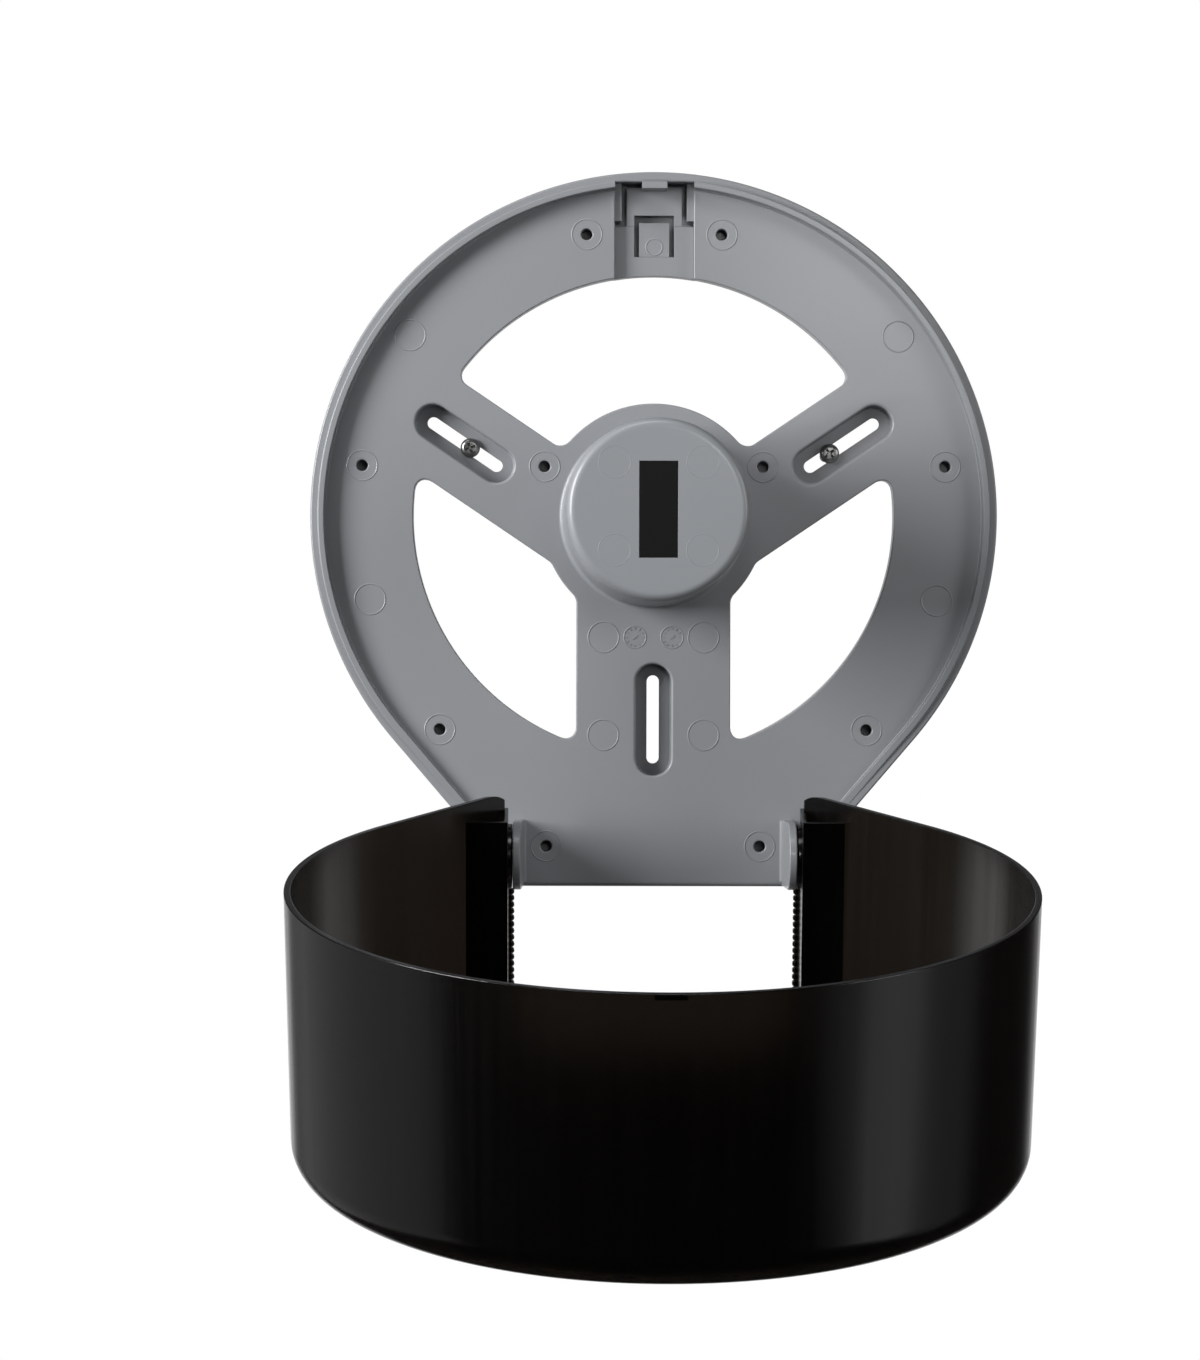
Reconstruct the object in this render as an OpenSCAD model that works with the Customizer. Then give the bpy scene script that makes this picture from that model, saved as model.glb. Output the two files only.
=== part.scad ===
// Wall dispenser for a jumbo toilet roll, drawn with its cover hanging open.
// Plan frame: X to the right, Y up the wall, Z out from the wall. It is turned
// upright at the end, so that the wall is Y = 0 and the front faces -Y.

/* [Back plate outline] */
// Radius of the round part of the plate
plate_r = 130; // [126:0.5:134]
// Slope of the straight lower sides, from level
side_deg = 49.5; // [48.5:0.5:50.5]
// How far the level bottom edge lies below the round part
plate_foot = 10.5; // [9.5:0.5:11.5]
// Height of the outer rim off the wall
rim_h = 14; // [13:0.5:15]
// Thickness of the outer rim
rim_wall = 2.9; // [2.4:0.1:3.1]
// Thickness of the lip inside the rim
lip_wall = 2.4; // [2:0.1:2.6]
// Height of the lip above the rim
lip_rise = 3; // [2:0.5:3]
// Length over which the lip rises from the rim, which lets the cover's sides swing past
lip_run = 96; // [90:1:110]
// Radius at the foot of the lip
lip_fillet = 5; // [3:0.5:5]
// Front face of the web, off the wall
web_h = 11; // [10:0.5:11]
// Thickness of the web
web_wall = 2.5; // [2:0.1:3]
// Rounding of the bottom edge
bottom_round = 3; // [2:0.5:4]

/* [Windows and spokes] */
// Width of the ring round the windows
ring_w = 38.8; // [38:0.2:40]
// Margin of the disc round the hub
disc_rim = 8.1; // [7.5:0.1:9]
// Width of the two upper spokes
spoke_w = 37.7; // [36:0.5:39]
// Slope of the upper spokes, from level
spoke_deg = 34; // [33:0.5:35]
// How far the upper spokes pass below the centre
spoke_drop = 17.5; // [17:0.1:18]
// Width of the lower spoke
stem_w = 58.4; // [57:0.2:60]
// Corner radius of the windows
window_round = 4.5; // [3:0.5:5]
// Wall behind the window edges
window_wall = 2; // [1.6:0.1:2.4]
// Gap between that wall and the building's wall
window_gap = 2; // [1:0.5:4]
// Thickness of the ribs behind the plate
rib_wall = 1.6; // [1.2:0.1:2]
// Gap between the ribs and the building's wall
rib_gap = 3; // [2:0.5:5]
// Radius of the pad at the centre of the back
pad_r = 6; // [4:0.5:8]

/* [Screw slots] */
// Length between the slot's end centres
slot_run = 28.9; // [26:0.1:30]
// Half width of the slot
slot_r = 2.35; // [2.2:0.05:2.6]
// Half width of the pocket round the slot
pocket_r = 6.75; // [6.5:0.05:7]
// Rounding of the pocket's mouth
pocket_round = 0.9; // [0.5:0.1:1.2]
// Thickness of the pocket's floor
pocket_floor = 2.5; // [2:0.1:3]
// Thickness of the pocket's wall
pocket_wall = 2; // [1.6:0.1:2.4]
// How far an upper pocket lies in from the middle of its spoke
upper_pocket_in = 4.9; // [4:0.1:6]
// How far the lower pocket lies in from the middle of its spoke
lower_pocket_in = 2.3; // [1.5:0.1:3]

/* [Posts] */
// Radius of the blind hole in each post
post_hole_r = 2.15; // [1.8:0.05:2.3]
// Radius of each post behind the web
post_r = 4.2; // [3.8:0.1:4.6]
// Floor left at the end of each blind hole
post_floor = 1.5; // [1:0.1:2]
// Radius of the round mark about each post
post_mark_r = 5.7; // [5.4:0.1:6]
// Width of that mark's groove
mark_w = 0.3; // [0.2:0.05:0.4]
// Depth of the marks
mark_d = 0.15; // [0.1:0.05:0.25]
// Radius of the ejector pin marks
pin_mark_r = 5.8; // [5:0.1:6]
// Radius of the two round mould dials
dial_r = 4.2; // [3.8:0.1:4.4]

/* [Latch] */
// Half width of the channel
channel_x = 15; // [14.5:0.1:15.5]
// Straight top edge of the channel, in from the round edge
channel_in = 3.8; // [3.6:0.1:4]
// Front face of the channel's floor, off the wall
channel_h = 7; // [6.8:0.1:7.4]
// Thickness of the channel's floor
channel_floor = 2; // [1.6:0.1:2]
// Closing wall behind the channel
channel_back = 1.2; // [1:0.1:1.4]
// Side wall of the channel, behind the web
channel_wall = 2; // [1.6:0.1:2.4]
// Half width of the paddle
paddle_x = 10.55; // [10.4:0.05:10.8]
// Gap above the paddle
paddle_gap = 1.4; // [1.2:0.1:1.6]
// Height of the paddle's plate
paddle_l = 10.7; // [10.4:0.1:11]
// Length of the paddle's two legs
leg_l = 4.1; // [3.8:0.1:4.4]
// Width of the cuts beside the paddle and the tongue
latch_cut = 1.8; // [1.6:0.05:1.9]
// Half width of the tongue
tongue_x = 5.75; // [5.6:0.05:5.8]
// Length of the tongue
tongue_l = 13; // [12.5:0.1:13.4]
// Gap between the tongue's tip and the paddle
tongue_gap = 2.7; // [2.4:0.1:3]
// Length of the slope on the tongue's tip
tongue_slope = 3.4; // [3:0.1:4]
// Thickness left at the tongue's tip
tongue_tip = 1.1; // [0.9:0.1:1.4]
// Rise of the two guide ribs over the channel's floor
guide_rise = 2; // [1.6:0.1:2.4]
// Half width of the catch
catch_x = 4.75; // [4.5:0.05:5]
// Gap above the catch
catch_gap = 0.4; // [0.3:0.05:0.5]
// Thickness of the catch
catch_wall = 2.4; // [2.2:0.1:2.6]
// Height of the barb over the catch
barb_rise = 1.1; // [0.9:0.1:1.1]
// Thickness of the barb
barb_wall = 1.6; // [1.4:0.1:1.8]
// Gap between the barb and the cover's rib
keeper_gap = 0.4; // [0.3:0.1:0.6]

/* [Hinge] */
// How far each ear's inner face stands in from the plate's corner
ear_inset = 1; // [0.8:0.1:1.2]
// Thickness of each ear
ear_wall = 2.9; // [2.7:0.1:3]
// Lean of each ear's inner face
ear_lean = 1.5; // [1:0.1:2]
// Radius of each ear's round end
ear_r = 12.6; // [12:0.1:12.7]
// Hinge axis, off the wall
hinge_h = 37.3; // [37:0.1:37.6]
// How far the ears stop short of the plate's bottom edge
ear_edge = 0.2; // [0.1:0.1:0.4]
// Radius of the hinge pins
pin_r = 3.5; // [3:0.1:3.6]
// Running clearance in the hinge bore, on the radius
pin_gap = 0.05; // [0.03:0.01:0.08]
// Rounding at the foot of each ear
ear_fillet = 3; // [2:0.5:4]
// How far the cover hangs open
open_deg = 102; // [98:1:104]

/* [Cover] */
// Depth of the cover, rim to front
cover_depth = 101; // [99:0.5:102]
// Wall thickness of the cover
cover_wall = 2.4; // [2.2:0.1:2.5]
// Draft of the cover's side wall
draft_deg = 1; // [0.8:0.1:1.1]
// Rounding between side and front
front_round = 13; // [10:0.5:14]
// Gap between the closed cover's rim and the plate
rim_gap = 0.2; // [0.1:0.05:0.4]
// How far the cover reaches below the hinge axis
flange_foot = 6.7; // [6.5:0.1:7]
// Gap between an ear and its hinge flange
flange_gap = 1.7; // [1.6:0.05:1.8]
// Thickness of each hinge flange
flange_wall = 1.6; // [1.5:0.1:1.8]
// Top face of the ledge that joins flange and side, over the hinge axis
ledge_rise = 15.7; // [15:0.1:16.5]
// Thickness of that ledge
ledge_wall = 2; // [1.6:0.1:2.4]
// Step from the rim to the flange and ledge
flange_step = 6.3; // [6:0.1:7]
// Radius of the loose corner of each side wall
corner_r = 13; // [12.5:0.5:14]
// Length of that rounding along the wall
corner_run = 10.5; // [10:0.5:12]
// Thickness of the hinge boss on each flange
boss_wall = 1.2; // [1:0.1:1.3]
// Radius of the hinge boss
boss_r = 9; // [8:0.5:10]
// How far the toothed edge stands in from the flange
teeth_in = 1.2; // [1:0.1:1.3]
// Depth of the tear teeth
teeth_d = 0.7; // [0.5:0.05:0.8]
// Pitch of the tear teeth
teeth_pitch = 2.83; // [2.6:0.01:3.2]
// Thickness of the toothed edge
teeth_wall = 2; // [1.6:0.1:2.4]
// Room kept between the teeth and the ears
ear_room = 1.3; // [1:0.1:2]
// Half width of the rib that the catch holds
keeper_x = 5.2; // [5:0.1:6]
// Gap between the catch and that rib
keeper_lift = 0.3; // [0.25:0.05:0.4]
// Thickness of that rib
keeper_wall = 1.4; // [1.2:0.1:1.5]
// Step from the rim to that rib
keeper_step = 1; // [0.9:0.1:1.1]

/* [Roll hub] */
// Radius of the hub at the plate
hub_base_r = 34.5; // [34:0.1:35]
// How much slimmer the hub's straight front part is
hub_taper = 1.3; // [1:0.1:1.6]
// Length of the hub's straight part, with its rounding
hub_straight = 43; // [40:1:46]
// Front face of the hub, off the wall
hub_h = 95; // [92:0.5:97]
// Wall of the hub
hub_wall = 2.4; // [2:0.1:2.8]
// Rounding of the hub's front edge
hub_round = 3; // [2.6:0.1:3.4]
// Rounding at the hub's foot
hub_foot = 1.5; // [1:0.1:2]
// Width of the black insert
insert_w = 14; // [13:0.1:15]
// Height of the black insert
insert_l = 34.9; // [33:0.1:36]
// Gap about the insert
insert_gap = 0.1; // [0.05:0.05:0.15]
// Flange of the insert behind the hub's face
insert_flange = 2; // [1.5:0.1:2.5]
// Thickness of that flange
insert_back = 1.5; // [1.2:0.1:2]

/* [Wall screws] */
// Radius of the screw head
head_r = 3.7; // [3.5:0.05:3.9]
// Height of the screw head
head_h = 2.6; // [2.4:0.1:3]
// Radius of the head's rounded edge
head_round = 1.6; // [1.2:0.1:1.8]
// Radius of the screw's shank
shank_r = 1.9; // [1.75:0.05:2]
// Length of the screw under its head
screw_l = 30; // [25:1:40]
// Length of the screw's point
point_l = 4; // [3:0.5:5]
// Width of the cross recess
cross_w = 0.9; // [0.8:0.05:1]
// Length of the cross recess
cross_l = 4; // [3.6:0.1:4.2]
// Depth of the cross recess
cross_d = 1.5; // [1.2:0.1:1.8]
// Place of the left screw, from its slot's middle
screw_left_run = 2.4; // [0:0.1:8]
// Place of the right screw, from its slot's middle
screw_right_run = 5.6; // [0:0.1:8]

/* [Hidden] */
$fn = 96;
// Room past a face for a clean cut
over = plate_r / 200;
// Length that reaches past the whole part
reach = plate_r * 3;

lip_out = plate_r - rim_wall;
lip_in = lip_out - lip_wall;
lip_h = rim_h + lip_rise;
back_h = web_h - web_wall;
web_edge = lip_in - lip_fillet;
web_r = web_edge - web_wall / 2;
side_turn = 90 - side_deg;
ring_r = plate_r - ring_w;
disc_r = hub_base_r + disc_rim;
hub_r = hub_base_r - hub_taper;
channel_from = (disc_r + ring_r) / 2;
channel_foot = ring_r * cos(asin((channel_x + channel_wall) / ring_r));
plate_drop = plate_r + plate_foot;
hinge_drop = plate_drop - ear_r - ear_edge;
ear_in = corner_x(plate_r, plate_drop) - ear_inset;
spoke_mid = (hub_base_r + lip_in) / 2;
spoke_dir = [cos(spoke_deg), -sin(spoke_deg)];
spoke_foot = [-sin(spoke_deg) * spoke_drop, -cos(spoke_deg) * spoke_drop];
left_pocket = spoke_foot - spoke_dir * (spoke_mid - upper_pocket_in);
lip_end = hinge_drop - web_wall / 2;
channel_top = plate_r - channel_in;
paddle_top = channel_top - paddle_gap;
paddle_low = paddle_top - paddle_l;
paddle_foot = paddle_low - leg_l;
tongue_top = paddle_low - tongue_gap;
tongue_foot = tongue_top - tongue_l;
catch_top = channel_top - catch_gap;
cover_drop = hinge_drop + flange_foot;
ledge_drop = hinge_drop - ledge_rise;
side_end = (cover_drop - plate_r * cos(side_deg)) / sin(side_deg);
flange_in = ear_in + ear_wall + flange_gap;
teeth_root = flange_in - teeth_in;
keeper_low = catch_top + keeper_lift;
hinge_at = [0, -hinge_drop, hinge_h];
rim_at = rim_h + rim_gap;
front_h = rim_at + cover_depth;
flange_at = rim_at + flange_step;
flange_out = flange_in + flange_wall;
inside_h = front_h - cover_wall;
keeper_h = rim_at + keeper_step;
barb_h = keeper_h + keeper_wall + keeper_gap;
draft = tan(draft_deg);
slant = sqrt(1 + draft * draft);
teeth_from = hinge_h + ear_r + ear_room;
teeth_n = floor((inside_h - teeth_from) / teeth_pitch);
// Posts and marks as shares of the plate's radius, right-hand side
post_shares = [[0.197, 0.820], [0.850, 0.1454], [0.3185, 0.1435], [0.6223, -0.6238],
    [0.3115, -0.9638]];
pin_mark_shares = [[0.7115, 0.525], [0.8265, -0.245], [0.1458, -0.3538], [0.1462, -0.6392]];
dial_shares = [[0.0538, -0.3538]];
// Marks on the hub's face as shares of its radius, right-hand side
hub_mark_shares = [[0.479, 0.512], [0.479, -0.443]];

function corner_x(r, drop) = (r - cos(side_deg) * drop) / sin(side_deg);

module upright() rotate([90, 0, 0]) children();

module both() {
    children();
    mirror([1, 0, 0]) children();
}

// Round plate outline with straight lower sides and a level bottom edge.
module outline(r, drop) {
    circle(r);
    polygon([[0, 0], [r * sin(side_deg), -r * cos(side_deg)], [corner_x(r, drop), -drop],
        [-corner_x(r, drop), -drop], [-r * sin(side_deg), -r * cos(side_deg)]]);
}

// Sweeps a profile (X = out from the centre, Y = off the wall) round the outline.
module sweep_outline(run) {
    rotate([0, 0, -side_turn]) rotate_extrude(angle = 180 + 2 * side_turn) children();
    both() rotate([0, 0, -side_turn]) rotate([90, 0, 0]) linear_extrude(run) children();
}

module keep_above(drop) {
    intersection() {
        children();
        translate([-reach, -drop, -reach]) cube([2 * reach, 2 * reach, 2 * reach]);
    }
}

module stadium(run, r) {
    translate([-run / 2, -r]) square([run, 2 * r]);
    translate([-run / 2, 0]) circle(r);
    translate([run / 2, 0]) circle(r);
}

// Removes the sharp edge round a stadium's mouth; the mouth is at Z = 0.
module stadium_flare(run, r, f) {
    translate([0, 0, -f]) {
        for (s = [-1, 1]) translate([s * run / 2, 0, 0]) rotate_extrude() flare_profile(r, f);
        for (s = [0, 180]) rotate([0, 0, s]) translate([-run / 2, 0, 0]) rotate([90, 0, 90])
            linear_extrude(run) flare_profile(r, f);
    }
}

module flare_profile(r, f) {
    difference() {
        square([r + f, f + over]);
        translate([r + f, 0]) circle(f);
    }
}

// Back plate
module windows() {
    offset(r = window_round) offset(delta = -window_round) difference() {
        circle(ring_r);
        circle(disc_r);
        translate([-stem_w / 2, -reach]) square([stem_w, reach]);
        both() translate(spoke_foot) rotate(-spoke_deg)
            translate([-reach, -spoke_w / 2]) square([reach, spoke_w]);
    }
}

// Skirt, rim and lip with its rounded foot, as one profile (X = out, Y = off the wall).
module rim_profile() {
    difference() {
        polygon([[web_edge - web_wall, back_h], [lip_out, back_h], [lip_out, 0], [plate_r, 0],
            [plate_r, rim_h], [lip_out, rim_h], [lip_out, lip_h], [lip_in, lip_h],
            [lip_in, web_h + lip_fillet], [web_edge, web_h + lip_fillet], [web_edge, web_h],
            [web_edge - web_wall, web_h]]);
        translate([web_edge, web_h + lip_fillet]) circle(lip_fillet);
    }
}

module at_pockets() {
    translate([0, lower_pocket_in - spoke_mid, 0]) rotate([0, 0, 90]) children();
    both() translate([left_pocket[0], left_pocket[1], 0]) rotate([0, 0, -spoke_deg]) children();
}

module at_shares(list, size = plate_r) {
    both() for (p = list) translate([p[0] * size, p[1] * size, 0]) children();
}

module ear() {
    // the inner face leans in towards the foot
    difference() {
        translate([ear_in - ear_wall, 0, 0]) rotate([90, 0, 90]) linear_extrude(2 * ear_wall) {
            translate([-hinge_drop - ear_r, back_h]) square([2 * ear_r, hinge_h - back_h]);
            translate([-hinge_drop, hinge_h]) circle(ear_r);
        }
        translate([ear_in, 0, hinge_h + ear_r]) rotate([0, ear_lean, 0])
            translate([-reach, -reach, -reach]) cube([reach, 2 * reach, 2 * reach]);
    }
    translate([ear_in + ear_wall / 2, -hinge_drop, hinge_h]) rotate([0, 90, 0])
        cylinder(r = pin_r, h = flange_out - ear_in - ear_wall / 2);
    // rounded foot on the inner side
    translate([ear_in - ear_fillet, -hinge_drop + ear_r, web_h]) rotate([90, 0, 0])
        linear_extrude(2 * ear_r) difference() {
            translate([0, -web_wall / 2]) square([ear_fillet + ear_wall / 2, ear_fillet + web_wall / 2]);
            translate([0, ear_fillet]) circle(ear_fillet);
        }
}

module ribs() {
    for (a = [30 : 60 : 330]) rotate([0, 0, a]) translate([0, -rib_wall / 2, rib_gap])
        cube([lip_out + rim_wall / 2, rib_wall, back_h - rib_gap + web_wall / 2]);
}

module plate_shape() {
    difference() {
        union() {
            translate([0, 0, back_h]) linear_extrude(web_wall)
                outline(web_r, plate_drop - rim_wall / 2);
            intersection() {
                ribs();
                linear_extrude(web_h) outline(lip_out + rim_wall / 3, plate_drop - rim_wall / 3);
            }
            translate([0, 0, window_gap]) linear_extrude(back_h - window_gap + web_wall / 2)
                offset(r = window_wall) windows();
            translate([-channel_x - channel_wall, channel_foot, 0])
                cube([2 * (channel_x + channel_wall), lip_out + rim_wall / 4 - channel_foot,
                    back_h + web_wall / 2]);
        }
        translate([0, 0, -over]) linear_extrude(web_h + 2 * over) windows();
    }
    // rim and lip, cut off above the bottom edge
    difference() {
        keep_above(plate_drop) sweep_outline(reach / 4) rim_profile();
        translate([-reach / 2, -plate_drop - over, web_h])
            cube([reach, plate_drop + over - lip_end, reach]);
        translate([-reach / 2, 0, 0]) rotate([90, 0, 90]) linear_extrude(reach)
            polygon([[-plate_drop - over, rim_h], [-ledge_drop, rim_h],
                [lip_run - ledge_drop, lip_h], [lip_run - ledge_drop, lip_h + over],
                [-plate_drop - over, lip_h + over]]);
    }
    // bottom edge
    translate([-corner_x(plate_r - rim_wall / 2, plate_drop), -plate_drop, 0])
        cube([2 * corner_x(plate_r - rim_wall / 2, plate_drop), rim_wall, web_h]);
    at_shares(post_shares) cylinder(r = post_r, h = back_h + web_wall / 2);
    cylinder(r = pad_r, h = back_h + web_wall / 2);
    at_pockets() linear_extrude(back_h + web_wall / 2) stadium(slot_run, pocket_r + pocket_wall);
    both() ear();
}

module channel_cut() {
    translate([-channel_x, channel_from, channel_h])
        cube([2 * channel_x, channel_top - channel_from, reach]);
    // no lip above the channel
    translate([-channel_x, channel_from, rim_h]) cube([2 * channel_x, plate_r, reach]);
    // hollow behind the floor
    translate([-channel_x, ring_r + channel_wall, channel_back])
        cube([2 * channel_x, channel_top - ring_r - channel_wall,
            channel_h - channel_floor - channel_back]);
    // cuts round the paddle and the tongue
    translate([-paddle_x - latch_cut, paddle_foot, channel_back])
        cube([2 * (paddle_x + latch_cut), channel_top - paddle_foot, reach]);
    translate([-channel_x, paddle_foot, channel_back]) cube([2 * channel_x, latch_cut, reach]);
    translate([-tongue_x - latch_cut, tongue_foot, channel_back])
        cube([2 * (tongue_x + latch_cut), paddle_foot - tongue_foot + over, reach]);
}

module back_plate() {
    color([0.55, 0.56, 0.57]) upright() {
        difference() {
            plate_shape();
            channel_cut();
            at_pockets() {
                translate([0, 0, pocket_floor]) linear_extrude(web_h) stadium(slot_run, pocket_r);
                translate([0, 0, -over]) linear_extrude(web_h) stadium(slot_run, slot_r);
                translate([0, 0, web_h]) stadium_flare(slot_run, pocket_r, pocket_round);
            }
            at_shares(post_shares) {
                translate([0, 0, post_floor]) cylinder(r = post_hole_r, h = web_h);
                translate([0, 0, web_h - mark_d]) difference() {
                    cylinder(r = post_mark_r, h = web_wall);
                    cylinder(r = post_mark_r - mark_w, h = web_wall);
                }
            }
            at_shares(pin_mark_shares) translate([0, 0, web_h - mark_d])
                cylinder(r = pin_mark_r, h = web_wall);
            at_shares(dial_shares) translate([0, 0, web_h - mark_d])
                cylinder(r = dial_r, h = web_wall);
            // rounded bottom edge
            translate([-ear_in, -plate_drop, web_h - bottom_round]) rotate([90, 0, 90])
                linear_extrude(2 * ear_in) difference() {
                    translate([-over, 0]) square([bottom_round + over, bottom_round + over]);
                    translate([bottom_round, 0]) circle(bottom_round);
                }
        }
        // guide ribs beside the paddle
        both() translate([paddle_x + latch_cut, paddle_foot + latch_cut, channel_h - channel_floor])
            cube([channel_x + over - paddle_x - latch_cut,
                channel_top + over - paddle_foot - latch_cut, guide_rise + channel_floor]);
    }
}

// Latch
module latch_paddle() {
    color([0.5, 0.51, 0.52]) upright() {
        translate([-paddle_x, paddle_low, channel_h - channel_floor])
            cube([2 * paddle_x, paddle_top - paddle_low, channel_floor]);
        both() translate([tongue_x + latch_cut, paddle_foot, channel_h - channel_floor])
            cube([paddle_x - tongue_x - latch_cut, paddle_low - paddle_foot + over, channel_floor]);
        // catch with its barb
        translate([catch_x, 0, 0]) rotate([0, -90, 0]) linear_extrude(2 * catch_x)
            polygon([[channel_h - channel_floor, catch_top - catch_wall],
                [barb_h + barb_wall, catch_top - catch_wall], [barb_h + barb_wall, catch_top],
                [barb_h, catch_top + barb_rise], [barb_h, catch_top],
                [channel_h - channel_floor, catch_top]]);
    }
}

module latch_tongue() {
    color([0.5, 0.51, 0.52]) upright() translate([tongue_x, 0, 0]) rotate([0, -90, 0])
        linear_extrude(2 * tongue_x) polygon([[channel_h - channel_floor, tongue_foot],
            [channel_h, tongue_foot], [channel_h, tongue_top - tongue_slope],
            [channel_h - channel_floor + tongue_tip, tongue_top],
            [channel_h - channel_floor, tongue_top]]);
}

// Cover, in its closed place until swung open
module swing(deg) {
    translate(hinge_at) rotate([deg, 0, 0]) translate(-hinge_at) children();
}

module cover_profile(inset, low) {
    f = front_round - inset;
    top = front_h - inset;
    out = plate_r - inset * slant - draft * (low - rim_at);
    cu = plate_r - inset * slant - draft * (top - f - rim_at) - f * slant;
    polygon([[0, low], [out, low], [cu + f / slant, top - f + f * draft / slant], [cu, top - f],
        [cu, top], [0, top]]);
    translate([cu, top - f]) circle(f);
}

module cover_block() {
    keep_above(cover_drop) sweep_outline(reach / 3.5) cover_profile(0, rim_at);
}

module teeth() {
    translate([0, -cover_drop + teeth_wall, 0]) rotate([90, 0, 0]) linear_extrude(teeth_wall)
        polygon(concat([[flange_in + flange_wall / 2, teeth_from], [teeth_root, teeth_from]],
            [for (k = [0 : 2 * teeth_n]) [teeth_root - (k % 2) * teeth_d,
                teeth_from + k * teeth_pitch / 2]],
            [[teeth_root, inside_h + cover_wall / 2],
                [flange_in + flange_wall / 2, inside_h + cover_wall / 2]]));
}

// Rounds the loose corner of each side wall, so that it clears the plate as the cover swings.
module free_corners() {
    both() rotate([0, 0, -side_turn]) translate([plate_r - 2 * cover_wall, corner_run - side_end, rim_at])
        rotate([90, 0, 90]) linear_extrude(3 * cover_wall) difference() {
            translate([-corner_r, -over]) square([corner_r, corner_r + over]);
            translate([0, corner_r]) circle(corner_r);
        }
}

module cover() {
    color([0.1, 0.08, 0.07]) upright() swing(open_deg) {
        difference() {
            cover_block();
            sweep_outline(reach / 3) cover_profile(cover_wall, rim_at - over);
            // open bottom between the hinge flanges
            translate([-flange_in, -reach, rim_at - over])
                cube([2 * flange_in, reach - ledge_drop - ledge_wall, inside_h - rim_at + over]);
            free_corners();
            bores();
        }
        difference() {
            intersection() {
                cover_block();
                both() {
                    translate([flange_in, -reach, flange_at])
                        cube([flange_wall, reach - ledge_drop, inside_h + cover_wall / 2 - flange_at]);
                    translate([flange_in, -ledge_drop - ledge_wall, flange_at]) cube([
                        corner_x(plate_r - cover_wall / 2, ledge_drop + ledge_wall) - flange_in,
                        ledge_wall, inside_h + cover_wall / 2 - flange_at]);
                    teeth();
                    translate([flange_in - boss_wall, -hinge_drop, hinge_h]) rotate([0, 90, 0])
                        intersection() {
                            cylinder(r = boss_r, h = boss_wall + flange_wall / 2);
                            translate([-reach, hinge_drop - cover_drop, -reach])
                                cube([2 * reach, 2 * reach, 2 * reach]);
                        }
                }
            }
            bores();
        }
        // rib that the catch holds
        intersection() {
            translate([-keeper_x, keeper_low, keeper_h])
                cube([2 * keeper_x, rim_wall, keeper_wall]);
            cylinder(r = plate_r - cover_wall / 2, h = reach);
        }
    }
}

module bores() {
    both() translate([flange_in - boss_wall - over, -hinge_drop, hinge_h]) rotate([0, 90, 0])
        cylinder(r = pin_r + pin_gap, h = boss_wall + flange_wall + 2 * over);
}

// Hub
module hub_profile(inset) {
    r = hub_r - inset;
    f = hub_round - inset;
    top = hub_h - inset;
    polygon([[0, web_h], [hub_base_r - inset, web_h], [r, hub_h - hub_straight], [r, top - f],
        [r - f, top - f], [r - f, top], [0, top]]);
    translate([r - f, top - f]) circle(f);
}

module roll_hub() {
    color([0.56, 0.57, 0.58]) upright() difference() {
        rotate_extrude() {
            hub_profile(0);
            difference() {
                translate([0, web_h]) square([hub_base_r + hub_foot, hub_foot]);
                translate([hub_base_r + hub_foot, web_h + hub_foot]) circle(hub_foot);
            }
        }
        translate([0, 0, -over]) rotate_extrude() hub_profile(hub_wall);
        translate([-insert_w / 2, -insert_l / 2, hub_h - 2 * hub_wall])
            cube([insert_w, insert_l, 3 * hub_wall]);
        at_shares(hub_mark_shares, hub_r) translate([0, 0, hub_h - mark_d])
            cylinder(r = pin_mark_r, h = web_wall);
    }
}

module hub_insert() {
    color([0.08, 0.08, 0.08]) upright() {
        translate([-insert_w / 2 + insert_gap, -insert_l / 2 + insert_gap, hub_h - hub_wall - over - insert_back])
            cube([insert_w - 2 * insert_gap, insert_l - 2 * insert_gap, hub_wall + over + insert_back]);
        translate([-insert_w / 2 - insert_flange, -insert_l / 2 - insert_flange,
            hub_h - hub_wall - over - insert_back])
            cube([insert_w + 2 * insert_flange, insert_l + 2 * insert_flange, insert_back]);
    }
}

// Wall screws
module screw() {
    difference() {
        union() {
            rotate_extrude() {
                square([head_r, head_h - head_round]);
                square([head_r - head_round, head_h]);
                intersection() {
                    translate([head_r - head_round, head_h - head_round]) circle(head_round);
                    square([head_r, head_h]);
                }
            }
            translate([0, 0, point_l - screw_l]) cylinder(r = shank_r, h = screw_l - point_l + head_h / 2);
            translate([0, 0, -screw_l]) cylinder(r1 = shank_r / 8, r2 = shank_r, h = point_l);
        }
        for (a = [45, 135]) rotate([0, 0, a]) translate([-cross_l / 2, -cross_w / 2, head_h - cross_d])
            cube([cross_l, cross_w, cross_d + over]);
    }
}

module wall_screw_left() {
    color([0.3, 0.3, 0.3]) upright()
        translate([left_pocket[0], left_pocket[1], pocket_floor] +
            concat(spoke_dir * screw_left_run, [0])) screw();
}

module wall_screw_right() {
    color([0.3, 0.3, 0.3]) upright() mirror([1, 0, 0])
        translate([left_pocket[0], left_pocket[1], pocket_floor] +
            concat(spoke_dir * screw_right_run, [0])) screw();
}

back_plate();
roll_hub();
hub_insert();
latch_paddle();
latch_tongue();
cover();
wall_screw_left();
wall_screw_right();
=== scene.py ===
import bpy
import bmesh
import math
from mathutils import Matrix, Vector


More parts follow.
